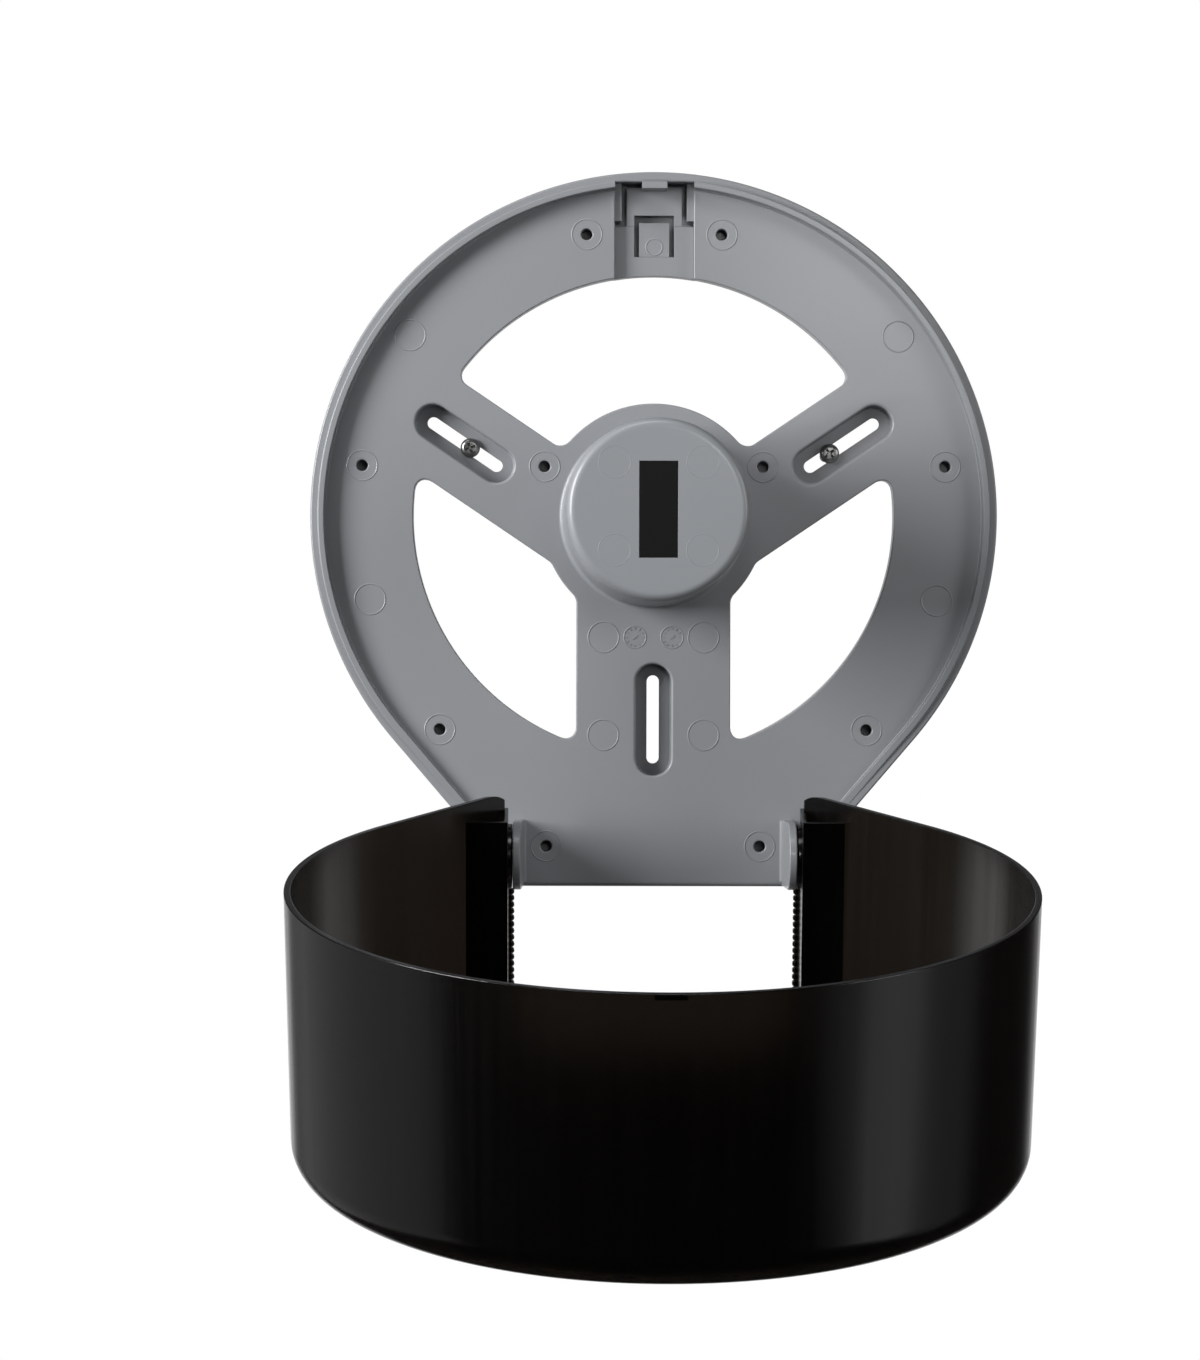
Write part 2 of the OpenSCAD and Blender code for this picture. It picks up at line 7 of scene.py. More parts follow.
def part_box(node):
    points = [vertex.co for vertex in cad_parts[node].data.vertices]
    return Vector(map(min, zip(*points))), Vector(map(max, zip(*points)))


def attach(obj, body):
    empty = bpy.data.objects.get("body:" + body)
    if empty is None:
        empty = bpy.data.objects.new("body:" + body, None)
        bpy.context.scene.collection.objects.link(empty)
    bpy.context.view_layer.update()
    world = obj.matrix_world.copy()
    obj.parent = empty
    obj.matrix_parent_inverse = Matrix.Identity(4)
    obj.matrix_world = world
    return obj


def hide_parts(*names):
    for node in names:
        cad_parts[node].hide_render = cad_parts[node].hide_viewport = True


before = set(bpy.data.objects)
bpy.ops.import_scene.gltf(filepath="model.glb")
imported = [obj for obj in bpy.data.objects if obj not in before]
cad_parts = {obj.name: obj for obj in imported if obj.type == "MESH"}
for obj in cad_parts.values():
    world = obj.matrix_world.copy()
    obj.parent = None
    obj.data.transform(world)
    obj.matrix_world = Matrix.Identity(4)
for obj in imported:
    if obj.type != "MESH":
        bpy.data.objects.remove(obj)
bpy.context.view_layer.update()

# Roll dispenser with its cover hanging open. Sizes are in millimetres, in the plan frame of the
# wall plate: X to the right, Y up the wall, Z off the wall.
MM = 0.001
SEAM = 0.01  # keeps two faces that meet from lying in one plane
TUCK = 1.0  # how far a hidden edge runs on into its neighbour

# Wall plate: skirt, rim, lip and web
plate_low, plate_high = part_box("back_plate")
PLATE_R = plate_high.x / MM
PLATE_DROP = -plate_low.z / MM
SIDE_DEG = 49.5
RIM_H = 14.0
RIM_WALL = 2.9
RIM_ROUND = 0.8
RIM_NOOK = 0.3
BRIDGE_ROUND = 0.6
LIP_WALL = 2.4
LIP_RISE = 3.0
LIP_RUN = 96.0
LIP_ROUND = 0.45
LIP_FILLET = 0.4
LIP_GROOVE = 0.3
LIP_GROOVE_H = 1.2
WEB_H = 11.0
WEB_WALL = 2.5
WEB_EDGE_ROUND = 0.5
BOTTOM_ROUND = 1.6

# Windows, spokes and what stiffens them from behind
RING_W = 38.8
DISC_RIM = 8.1
SPOKE_W = 37.7
SPOKE_DEG = 34.0
SPOKE_DROP = 17.5
STEM_W = 58.4
WINDOW_ROUND = 4.5
WINDOW_WALL = 2.0
WINDOW_GAP = 2.0
RIB_WALL = 1.6
RIB_GAP = 3.0
PAD_R = 6.0

# Screw pockets with their slots
SLOT_RUN = 28.9
SLOT_R = 2.35
SLOT_ROUND = 0.25
POCKET_R = 6.75
POCKET_ROUND = 1.0
POCKET_FOOT = 0.5
POCKET_FLOOR = 2.5
POCKET_WALL = 2.0
UPPER_POCKET_IN = 4.9
LOWER_POCKET_IN = 2.3

# Cored posts, ejector marks and plain dials
POST_HOLE_R = 2.15
POST_R = 4.2
POST_FLOOR = 1.5
POST_MARK_R = 5.7
PIN_MARK_R = 5.8
DIAL_R = 4.2
DIAL_TICKS = 12
DIAL_TURN = 30.0
TICK_L = 0.9
TICK_W = 0.35
MARK_W = 0.7
MARK_H = 0.2

# Latch channel, paddle with its catch, and tongue
CHANNEL_X = 15.0
CHANNEL_IN = 3.8
CHANNEL_H = 7.0
CHANNEL_FLOOR = 2.0
CHANNEL_BACK = 1.2
CHANNEL_WALL = 2.0
FLOOR_LAP = 0.4
PADDLE_X = 10.55
PADDLE_GAP = 1.4
PADDLE_L = 10.7
LEG_L = 4.1
LATCH_CUT = 1.8
TONGUE_X = 5.75
TONGUE_L = 13.0
TONGUE_GAP = 2.7
TONGUE_SLOPE = 3.4
TONGUE_TIP = 1.1
TONGUE_ROUND = 0.15
TONGUE_MARK_R = 3.1
GUIDE_RISE = 2.0
CATCH_X = 4.75
CATCH_GAP = 0.4
CATCH_WALL = 2.4
BARB_RISE = 1.1
BARB_WALL = 1.6
LATCH_ROUND = 0.2

# Hinge ears and pins
EAR_INSET = 1.0
EAR_WALL = 2.9
EAR_LEAN = 1.5
EAR_R = 12.6
EAR_EDGE = 0.2
EAR_FILLET = 1.2
EAR_FILLET_SHORT = 0.4
EAR_ROUND = 0.5
HINGE_H = 37.3
PIN_R = 3.5
PIN_EDGE = 0.3
PIN_ROOT = 0.5
PIN_SHORT = 1.3
PIN_SUNK = 0.05
PIN_PLAY = 0.1
OPEN_DEG = 102.0

# Cover: shell, ledges, hinge flanges, tear edge and the rib that the catch holds
COVER_DEPTH = 101.0
COVER_WALL = 2.4
DRAFT_DEG = 1.0
FRONT_ROUND = 13.0
RIM_GAP = 0.2
EDGE_ROUND = 0.35
CORNER_R = 13.0
CORNER_RUN = 11.7
MOUTH_LAP = 0.3
BLOCK_INSET = 0.05
FLANGE_FOOT = 6.7
FLANGE_GAP = 1.7
FLANGE_WALL = 1.6
FLANGE_STEP = 6.3
FLANGE_ROUND = 0.25
LEDGE_RISE = 15.7
LEDGE_WALL = 2.0
LEDGE_SHORT = 1.5
LEDGE_TUCK = 0.1
LEDGE_ROUND = 0.2
BOSS_WALL = 1.5
BOSS_R = 12.0
BOSS_EDGE = 0.3
TEETH_IN = 1.2
TEETH_D = 1.05
TEETH_PITCH = 2.55
TEETH_WALL = 2.0
TOOTH_INSET = 0.1
EAR_ROOM = 1.3
KEEPER_X = 5.2
KEEPER_LIFT = 0.3
KEEPER_WALL = 1.4
KEEPER_STEP = 1.0
KEEPER_GAP = 0.4
KEEPER_ROOT = 0.6
KEEPER_ROUND = 0.15

# Hub drum and the plate let into its face
HUB_BASE_R = 34.5
HUB_R = 33.2
HUB_STRAIGHT = 43.0
HUB_H = -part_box("roll_hub")[0].y / MM
HUB_WALL = 2.4
HUB_STEP = 2.0
HUB_ROUND = 3.0
HUB_FOOT = 1.5
HUB_MARK_SINK = 0.15
FACE_ROUND = 0.1
INSERT_W = 14.0
INSERT_L = 34.9
INSERT_GAP = 0.1
INSERT_BACK = 1.5
INSERT_ROUND = 0.12

# Wall screws
HEAD_R = 3.7
HEAD_H = 2.6
HEAD_ROUND = 1.6
HEAD_EDGE = 0.1
SHANK_R = 1.9
SHANK_PLAIN = 6.0
SCREW_L = 30.0
POINT_L = 4.0
POINT_R = 0.15
CROSS_W = 0.9
CROSS_L = 4.0
CROSS_D = 1.5
CROSS_CLEAR = 0.3
CROSS_NARROW = 0.45
CROSS_WIDE = 1.15
LEFT_CROSS_DEG = 20
RIGHT_CROSS_DEG = 38
SCREW_LEFT_RUN = 2.4
SCREW_RIGHT_RUN = 5.6
THREAD_PITCH = 1.6
THREAD_RISE = 0.35

# What follows from those sizes
SIDE = math.radians(90 - SIDE_DEG)
SIDE_OUT = Vector((math.cos(-SIDE), math.sin(-SIDE)))
SIDE_RUN = Vector((-math.sin(SIDE), -math.cos(SIDE)))
LIP_OUT = PLATE_R - RIM_WALL
LIP_IN = LIP_OUT - LIP_WALL
LIP_H = RIM_H + LIP_RISE
BACK_H = WEB_H - WEB_WALL
WEB_EDGE = LIP_IN - LIP_FILLET - LIP_GROOVE
RING_R = PLATE_R - RING_W
DISC_R = HUB_BASE_R + DISC_RIM
HINGE_DROP = PLATE_DROP - EAR_R - EAR_EDGE
LEDGE_DROP = HINGE_DROP - LEDGE_RISE
LIP_END = HINGE_DROP - WEB_WALL / 2
COVER_DROP = HINGE_DROP + FLANGE_FOOT
CHANNEL_TOP = PLATE_R - CHANNEL_IN
CHANNEL_LOW = CHANNEL_H - CHANNEL_FLOOR
CHANNEL_GATE = math.sqrt(RING_R ** 2 - CHANNEL_X ** 2)
PADDLE_TOP = CHANNEL_TOP - PADDLE_GAP
PADDLE_LOW = PADDLE_TOP - PADDLE_L
PADDLE_FOOT = PADDLE_LOW - LEG_L
TONGUE_ROOM = TONGUE_X + LATCH_CUT
TONGUE_TOP = PADDLE_LOW - TONGUE_GAP
TONGUE_FOOT = TONGUE_TOP - TONGUE_L
CATCH_TOP = CHANNEL_TOP - CATCH_GAP
KEEPER_LOW = CATCH_TOP + KEEPER_LIFT
RIM_AT = RIM_H + RIM_GAP
FRONT_H = RIM_AT + COVER_DEPTH
INSIDE_H = FRONT_H - COVER_WALL
FLANGE_AT = RIM_AT + FLANGE_STEP
KEEPER_H = RIM_AT + KEEPER_STEP
BARB_H = KEEPER_H + KEEPER_WALL + KEEPER_GAP
TEETH_FROM = HINGE_H + EAR_R + EAR_ROOM
DRAFT = math.tan(math.radians(DRAFT_DEG))


def corner_x(r, drop):
    """Half width between the straight sides of the outline at radius r, at a drop below the middle."""
    return (r - math.cos(math.radians(SIDE_DEG)) * drop) / math.sin(math.radians(SIDE_DEG))


EAR_IN = corner_x(PLATE_R, PLATE_DROP) - EAR_INSET
FLANGE_IN = EAR_IN + EAR_WALL + FLANGE_GAP
FLANGE_OUT = FLANGE_IN + FLANGE_WALL
TEETH_ROOT = FLANGE_IN - TEETH_IN
TEETH_N = int((INSIDE_H - TEETH_FROM) / TEETH_PITCH)

# The left spoke: its run inwards from the rim, the way across it, and its nearest point to the middle
SPOKE_ALONG = Vector((math.cos(math.radians(SPOKE_DEG)), -math.sin(math.radians(SPOKE_DEG))))
SPOKE_ACROSS = Vector((math.sin(math.radians(SPOKE_DEG)), math.cos(math.radians(SPOKE_DEG))))
SPOKE_FOOT = -SPOKE_ACROSS * SPOKE_DROP
SPOKE_MID = (HUB_BASE_R + LIP_IN) / 2
LEFT_POCKET = SPOKE_FOOT - SPOKE_ALONG * (SPOKE_MID - UPPER_POCKET_IN)
RIGHT_POCKET = Vector((-LEFT_POCKET.x, LEFT_POCKET.y))
RIGHT_ALONG = Vector((-SPOKE_ALONG.x, SPOKE_ALONG.y))
LOW_POCKET = Vector((0, LOWER_POCKET_IN - SPOKE_MID))

# Places as shares of the plate's or the hub's radius, right-hand side
POST_SHARES = [(0.197, 0.820), (0.850, 0.1454), (0.3185, 0.1435), (0.6223, -0.6238), (0.3115, -0.9638)]
PIN_MARK_SHARES = [(0.7115, 0.525), (0.8265, -0.245), (0.1458, -0.3538), (0.1462, -0.6392)]
DIAL_SHARES = [(0.0538, -0.3538)]
HUB_MARK_SHARES = [(0.479, 0.512), (0.479, -0.443)]

# From the plan frame to metres: the plate upright, and the cover swung open about its hinge
UPRIGHT = Matrix.Scale(MM, 4) @ Matrix.Rotation(math.radians(90), 4, "X")
HINGE = Vector((0, -HINGE_DROP, HINGE_H))
SWING = Matrix.Rotation(math.radians(OPEN_DEG), 4, "X")
SWUNG = UPRIGHT @ Matrix.Translation(HINGE) @ SWING @ Matrix.Translation(-HINGE)

# Finish: sizes of the patterns, in millimetres
FLOW_CLOUD = 60.0
PLATE_GRAIN = 0.9  # spark grain is about 0.3 mm across; drawn coarser so that it shows
BLACK_GRAIN = 0.7
DRAW_LINE = 3.5  # real draw lines are finer than a millimetre; drawn wider so that they show
DRAW_STRETCH = 60
SMOKE_HAZE = 45.0
STEEL_WEAR = 1.2
FLOOR_SPECK = 25.0
SHARP_DEG = 38


# Colours and shader nodes
def linear(hex6):
    """Linear colour of an sRGB hex value."""
    def one(c):
        return c / 12.92 if c <= 0.04045 else ((c + 0.055) / 1.055) ** 2.4
    return tuple(one(int(hex6[i:i + 2], 16) / 255) for i in (0, 2, 4)) + (1.0,)


def feed(tree, node, **links):
    """Gives a node its inputs: sockets or plain values, by the input's label, or by i and its number."""
    for key, value in links.items():
        numbered = key[0] == "i" and key[1:].isdigit()
        socket = node.inputs[int(key[1:])] if numbered else node.inputs[key.replace("_", " ")]
        if isinstance(value, bpy.types.NodeSocket):
            tree.links.new(value, socket)
        else:
            socket.default_value = value
    return node


def add(tree, kind, settings=None, **links):
    """Adds a node with its settings, which are its properties, and its links, which go to its inputs."""
    node = tree.nodes.new(kind)
    for key, value in (settings or {}).items():
        setattr(node, key, value)
    return feed(tree, node, **links)


def new_material(name):
    m = bpy.data.materials.new(name)
    m.use_nodes = True
    return m, m.node_tree, m.node_tree.nodes["Principled BSDF"]


def spaced(size):
    """Scale of a pattern whose features are of a size in millimetres."""
    return 1 / (size * MM)


def moulded_abs(name, dark, colour, rough, grain_mm, grain_depth, gloss, shine=0.5):
    """Injection-moulded ABS: a fine spark-eroded grain, faint flow clouds and a satin sheen."""
    m, tree, skin = new_material(name)
    place = add(tree, "ShaderNodeTexCoord").outputs["Object"]
    flow = add(tree, "ShaderNodeTexNoise", Vector=place, Scale=spaced(FLOW_CLOUD), Detail=3.0, Roughness=0.5)
    grain = add(tree, "ShaderNodeTexNoise", Vector=place, Scale=spaced(grain_mm), Detail=2.0, Roughness=0.6)
    tone = add(tree, "ShaderNodeMix", {"data_type": "RGBA"}, i0=flow.outputs[0], i6=linear(dark),
               i7=linear(colour))
    sheen = add(tree, "ShaderNodeMapRange", Value=grain.outputs[0], To_Min=rough - 0.06, To_Max=rough + 0.06)
    bump = add(tree, "ShaderNodeBump", Height=grain.outputs[0], Strength=0.35, Distance=grain_depth * MM)
    feed(tree, skin, Base_Color=tone.outputs[2], Roughness=sheen.outputs[0], Normal=bump.outputs[0], IOR=1.54,
         Specular_IOR_Level=shine, Coat_Weight=gloss, Coat_Roughness=0.15)
    return m


def smoked_polystyrene():
    """Polished smoked plastic: near black, lets a little brown light through, with faint draw lines."""
    m, tree, skin = new_material("polished_smoked_plastic")
    place = add(tree, "ShaderNodeTexCoord")
    lean = math.radians(OPEN_DEG - 90)
    # draw lines left by the mould run along the cover's depth
    drawn = add(tree, "ShaderNodeMapping", {"vector_type": "TEXTURE"}, Vector=place.outputs["Object"],
                Rotation=(lean, 0, 0), Scale=(1, 1, DRAW_STRETCH))
    lines = add(tree, "ShaderNodeTexNoise", Vector=drawn.outputs[0], Scale=spaced(DRAW_LINE), Detail=3.0,
                Roughness=0.55)
    gloss = add(tree, "ShaderNodeMapRange", Value=lines.outputs[0], From_Min=0.3, From_Max=0.7, To_Min=0.2,
                To_Max=0.27)
    # the lines are on the walls only: the front, square to the draw, is polished evenly
    across = add(tree, "ShaderNodeVectorMath", {"operation": "DOT_PRODUCT"}, i0=place.outputs["Normal"],
                 i1=(0, math.sin(lean), -math.cos(lean)))
    square = add(tree, "ShaderNodeMath", {"operation": "ABSOLUTE"}, i0=across.outputs["Value"])
    front = add(tree, "ShaderNodeMapRange", Value=square.outputs[0], From_Min=0.2, From_Max=0.8)
    even = add(tree, "ShaderNodeMix", {"data_type": "FLOAT"}, i0=front.outputs[0], i2=gloss.outputs[0],
               i3=0.2)
    haze = add(tree, "ShaderNodeTexNoise", Vector=place.outputs["Object"], Scale=spaced(SMOKE_HAZE),
               Detail=2.0)
    tone = add(tree, "ShaderNodeMix", {"data_type": "RGBA"}, i0=haze.outputs[0], i6=linear("17130f"),
               i7=linear("1b1612"))
    feed(tree, skin, Base_Color=tone.outputs[2], Roughness=even.outputs[0], IOR=1.5, Transmission_Weight=1.0)
    return m


def blackened_steel():
    """Screw steel with a dark oxide: metal, brushed by the driver, lighter where it is worn."""
    m, tree, skin = new_material("blackened_screw_steel")
    place = add(tree, "ShaderNodeTexCoord").outputs["Object"]
    worn = add(tree, "ShaderNodeTexNoise", Vector=place, Scale=spaced(STEEL_WEAR), Detail=3.0, Roughness=0.6)
    tone = add(tree, "ShaderNodeMix", {"data_type": "RGBA"}, i0=worn.outputs[0], i6=linear("6e706f"),
               i7=linear("b4b5b2"))
    sheen = add(tree, "ShaderNodeMapRange", Value=worn.outputs[0], To_Min=0.22, To_Max=0.42)
    feed(tree, skin, Base_Color=tone.outputs[2], Roughness=sheen.outputs[0], Metallic=1.0)
    return m


plate_abs = moulded_abs("moulded_grey_abs", "898b8f", "8f9195", 0.46, PLATE_GRAIN, 0.02, 0.3)
hub_abs = moulded_abs("moulded_grey_abs_hub", "8e9195", "94979b", 0.44, PLATE_GRAIN, 0.015, 0.3)
black_abs = moulded_abs("moulded_black_abs", "090909", "0c0d0d", 0.55, BLACK_GRAIN, 0.02, 0.0, 0.2)
cover_smoke = smoked_polystyrene()
screw_steel = blackened_steel()


# Mesh helpers; points are in the plan frame, in millimetres
def linked(name, data):
    obj = bpy.data.objects.new(name, data)
    bpy.context.scene.collection.objects.link(obj)
    return obj


def plain_mesh(holder):
    """The finished shape of an object as a mesh of its own; the object itself goes."""
    graph = bpy.context.evaluated_depsgraph_get()
    mesh = bpy.data.meshes.new_from_object(holder.evaluated_get(graph), depsgraph=graph)
    bpy.data.objects.remove(holder)
    return mesh


def cleaned(mesh, merge=1e-4, least=1e-5):
    """Merges doubled points, drops faces without area and turns all faces outwards."""
    bm = bmesh.new()
    bm.from_mesh(mesh)
    bmesh.ops.remove_doubles(bm, verts=bm.verts, dist=merge)
    bmesh.ops.dissolve_degenerate(bm, edges=bm.edges, dist=least)
    bmesh.ops.recalc_face_normals(bm, faces=bm.faces)
    bm.to_mesh(mesh)
    bm.free()
    return mesh


def mesh_from(name, points, faces):
    mesh = bpy.data.meshes.new(name)
    mesh.from_pydata([tuple(p) for p in points], [], faces)
    return cleaned(mesh)


def evaluated(mesh, kind, **settings):
    """The mesh after one modifier."""
    holder = linked(mesh.name, mesh)
    modifier = holder.modifiers.new(kind, kind)
    for key, value in settings.items():
        setattr(modifier, key, value)
    return plain_mesh(holder)


def carved(mesh, cutter_mesh, operation="DIFFERENCE"):
    """The mesh with the cutter's room taken out of it, or with only what lies inside the cutter."""
    cutter = linked("cutter", cutter_mesh)
    cut = evaluated(mesh, "BOOLEAN", operation=operation, object=cutter, solver="EXACT")
    bpy.data.objects.remove(cutter)
    return cut


def rounded(mesh, width, segments=2, angle=35):
    """Rounds every edge sharper than the angle."""
    return evaluated(mesh, "BEVEL", width=width, segments=segments, limit_method="ANGLE",
                     angle_limit=math.radians(angle), use_clamp_overlap=True, miter_outer="MITER_ARC")


def sweep(name, rows, closed_path=False):
    """Joins rows of points, each a ring, into a closed skin with capped ends, or into a closed loop."""
    n = len(rows[0])
    faces = []
    for k in range(len(rows) if closed_path else len(rows) - 1):
        a, b = k * n, ((k + 1) % len(rows)) * n
        faces += [(a + i, a + (i + 1) % n, b + (i + 1) % n, b + i) for i in range(n)]
    if not closed_path:
        end = (len(rows) - 1) * n
        faces += [tuple(range(n)), tuple(end + i for i in reversed(range(n)))]
    return mesh_from(name, [p for row in rows for p in row], faces)


def as_plan(a, b, h):
    return a, b, h


def side_on(h, y, x):
    """Places an outline that is drawn from the side, as height and Y."""
    return x, y, h


def prism(name, outline, low, high, placed=as_plan):
    """Extrudes an outline from low to high."""
    return sweep(name, [[placed(a, b, level) for a, b in outline] for level in (low, high)])


def block(name, low, high):
    (x0, y0, z0), (x1, y1, z1) = low, high
    return prism(name, [(x0, y0), (x1, y0), (x1, y1), (x0, y1)], z0, z1)


def arc(centre, r, start, end, steps):
    """Points on an arc, in degrees."""
    turns = [math.radians(start + (end - start) * i / steps) for i in range(steps + 1)]
    return [(centre[0] + r * math.cos(a), centre[1] + r * math.sin(a)) for a in turns]


def circle(centre, r, count):
    return arc(centre, r, 0, 360 - 360 / count, count - 1)


def lathe(name, profile, steps=96, centre=(0, 0)):
    """Turns a profile of (radius, height) points about the Z axis at the centre."""
    n = len(profile)
    points = []
    for k in range(steps):
        c, s = math.cos(2 * math.pi * k / steps), math.sin(2 * math.pi * k / steps)
        points += [(centre[0] + r * c, centre[1] + r * s, h) for r, h in profile]
    faces = [(k * n + i, ((k + 1) % steps) * n + i, ((k + 1) % steps) * n + i + 1, k * n + i + 1)
             for k in range(steps) for i in range(n - 1)]
    return mesh_from(name, points, faces)


def cut_plate(name, outline, holes, low, high, round_mm):
    """A flat plate with holes and rounded edges, from a filled 2-D curve."""
    curve = bpy.data.curves.new(name, "CURVE")
    curve.dimensions = "2D"
    curve.fill_mode = "BOTH"
    curve.extrude = (high - low) / 2 - round_mm
    curve.bevel_depth = round_mm
    curve.bevel_resolution = 2
    curve.offset = -round_mm
    for ring in [outline] + holes:
        spline = curve.splines.new("POLY")
        spline.points.add(len(ring) - 1)
        for point, (x, y) in zip(spline.points, ring):
            point.co = (x, y, 0, 1)
        spline.use_cyclic_u = True
    mesh = plain_mesh(linked(name, curve))
    mesh.transform(Matrix.Translation((0, 0, (low + high) / 2)))
    return cleaned(mesh, merge=2e-3, least=1e-4)


def both(mesh):
    """The mesh and its twin on the other side of the middle."""
    twin = mesh.copy()
    twin.transform(Matrix.Scale(-1, 4, (1, 0, 0)))
    twin.flip_normals()
    return [mesh, twin]


def piece(name, node, meshes, material, body, place):
    """Joins meshes into one piece in the row frame that stands for a node, smooth up to SHARP_DEG."""
    bm = bmesh.new()
    for mesh in meshes:
        bm.from_mesh(mesh)
    joined = bpy.data.meshes.new(name)
    bm.to_mesh(joined)
    bm.free()
    joined.transform(place)
    joined.materials.clear()
    joined.materials.append(material)
    joined.polygons.foreach_set("use_smooth", [True] * len(joined.polygons))
    joined.set_sharp_from_angle(angle=math.radians(SHARP_DEG))
    final = evaluated(joined, "WEIGHTED_NORMAL", keep_sharp=True, weight=60)
    for i in range(len(final.materials)):
        final.materials[i] = material
    obj = linked(name, final)
    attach(obj, body)
    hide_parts(node)


# Outline of the plate and the cover: round, with straight lower sides
def on_arc(r, angle):
    return Vector((r * math.cos(angle), r * math.sin(angle)))


def on_side(r, share, drop):
    """Point on the right straight side, from the arc's end at share 0 to the drop at share 1."""
    return SIDE_OUT * r + SIDE_RUN * ((r * SIDE_OUT.y + drop) / -SIDE_RUN.y * share)


def on_outline(r, k, arc_steps, side_steps, drop):
    """Point k of the outline at radius r, from the lower left round the top to the lower right."""
    if k < side_steps:
        p = on_side(r, 1 - k / side_steps, drop)
        return Vector((-p.x, p.y))
    if k <= side_steps + arc_steps:
        return on_arc(r, math.pi + SIDE - (math.pi + 2 * SIDE) * (k - side_steps) / arc_steps)
    return on_side(r, (k - side_steps - arc_steps) / side_steps, drop)


def right_half(r, k, arc_steps, side_steps, drop):
    """Point k of the outline's right half, from the latch channel's side down to the drop."""
    first = math.acos(CHANNEL_X / r)
    if k <= arc_steps:
        return on_arc(r, first + (-SIDE - first) * k / arc_steps)
    return on_side(r, (k - arc_steps) / side_steps, drop)


# Back plate: skirt, rim and lip
def rim_section():
    """Radius and height round the rim's section, from the foot of the skirt."""
    ring = [(PLATE_R, 0.0)]
    ring += arc((PLATE_R - RIM_ROUND, RIM_H - RIM_ROUND), RIM_ROUND, 0, 90, 5)
    ring += arc((LIP_OUT + RIM_NOOK, RIM_H + RIM_NOOK), RIM_NOOK, 270, 180, 3)
    ring += arc((LIP_OUT - LIP_ROUND, LIP_H - LIP_ROUND), LIP_ROUND, 0, 90, 5)
    ring += arc((LIP_IN + LIP_ROUND, LIP_H - LIP_ROUND), LIP_ROUND, 90, 180, 5)
    ring += [(LIP_IN, WEB_H + LIP_GROOVE_H), (LIP_IN - LIP_GROOVE, WEB_H + LIP_GROOVE_H)]
    ring += arc((WEB_EDGE, WEB_H + LIP_FILLET + SEAM), LIP_FILLET, -10, -90, 10)
    ring += [(WEB_EDGE - TUCK, WEB_H + SEAM), (WEB_EDGE - TUCK, BACK_H - SEAM)]
    ring += [(LIP_OUT, BACK_H - SEAM), (LIP_OUT, 0.0)]
    return ring


def rim_half():
    """Right half of the rim: the lip fades out down the side, and the foot is round like the bottom edge."""
    section = rim_section()
    arc_steps, side_steps, fine = 240, 26, 6
    coarse = arc_steps + side_steps - 2
    stations = list(range(coarse + 1)) + [coarse + i / fine for i in range(1, 2 * fine + 1)]
    rows = []
    for k in stations:
        row = []
        for r, h in section:
            p = right_half(r, k, arc_steps, side_steps, PLATE_DROP)
            if h > RIM_H:
                h = RIM_H + (h - RIM_H) * min(max((p.y + LEDGE_DROP) / LIP_RUN, 0.0), 1.0)
            if p.y < -LIP_END:
                h = min(h, WEB_H + SEAM)
            below = BOTTOM_ROUND - (p.y + PLATE_DROP)
            if below > 0:
                h = min(h, WEB_H - BOTTOM_ROUND + math.sqrt(max(BOTTOM_ROUND ** 2 - below ** 2, 0.0)))
            row.append((p.x, p.y, h))
        rows.append(row)
    return sweep("rim_half", rows)


def bridge():
    """The stretch of rim above the latch channel, flat below and without a lip."""
    end_x = CHANNEL_X + TUCK
    half = math.degrees(math.asin(end_x / PLATE_R))
    outline = arc((0, 0), PLATE_R - SEAM, 90 - half, 90 + half, 16)
    outline += [(-end_x, CHANNEL_TOP), (end_x, CHANNEL_TOP)]
    return rounded(prism("bridge", outline, 0, RIM_H - SEAM), BRIDGE_ROUND, 3)


def bottom_edge():
    """Skirt along the level bottom edge, with its rounded front."""
    inside = -PLATE_DROP + BOTTOM_ROUND + TUCK
    section = [(-PLATE_DROP, 0.0)]
    section += arc((-PLATE_DROP + BOTTOM_ROUND, WEB_H - BOTTOM_ROUND), BOTTOM_ROUND, 180, 90, 8)
    section += [(inside, WEB_H + SEAM), (inside, BACK_H), (-PLATE_DROP + RIM_WALL, BACK_H)]
    section += [(-PLATE_DROP + RIM_WALL, 0.0)]
    return sweep("bottom_edge", [[(side * (corner_x(PLATE_R, -y) - EAR_EDGE), y, h) for y, h in section]
                                 for side in (-1, 1)])


# Windows
def bearing(x, y):
    return math.degrees(math.atan2(y, x))


def spoke_bearing(sign, r):
    """Where the right spoke's upper (1) or lower (-1) edge meets the circle of radius r."""
    across = Vector((-SPOKE_ACROSS.x, SPOKE_ACROSS.y))
    base = Vector((-SPOKE_FOOT.x, SPOKE_FOOT.y)) + across * sign * SPOKE_W / 2
    along = Vector((SPOKE_ALONG.x, -SPOKE_ALONG.y))
    back = base.dot(along)
    return bearing(*(base + along * (math.sqrt(back * back - base.length_squared + r * r) - back)))


def stem_bearing(r):
    """Where the right edge of the lower spoke meets the circle of radius r."""
    return bearing(STEM_W / 2, -math.sqrt(r ** 2 - (STEM_W / 2) ** 2))


def top_window():
    outer, inner = spoke_bearing(1, RING_R), spoke_bearing(1, DISC_R)
    return arc((0, 0), RING_R, outer, 180 - outer, 60) + arc((0, 0), DISC_R, 180 - inner, inner, 40)


def right_window():
    ring = arc((0, 0), RING_R, spoke_bearing(-1, RING_R), stem_bearing(RING_R), 50)
    return ring + arc((0, 0), DISC_R, stem_bearing(DISC_R), spoke_bearing(-1, DISC_R), 24)


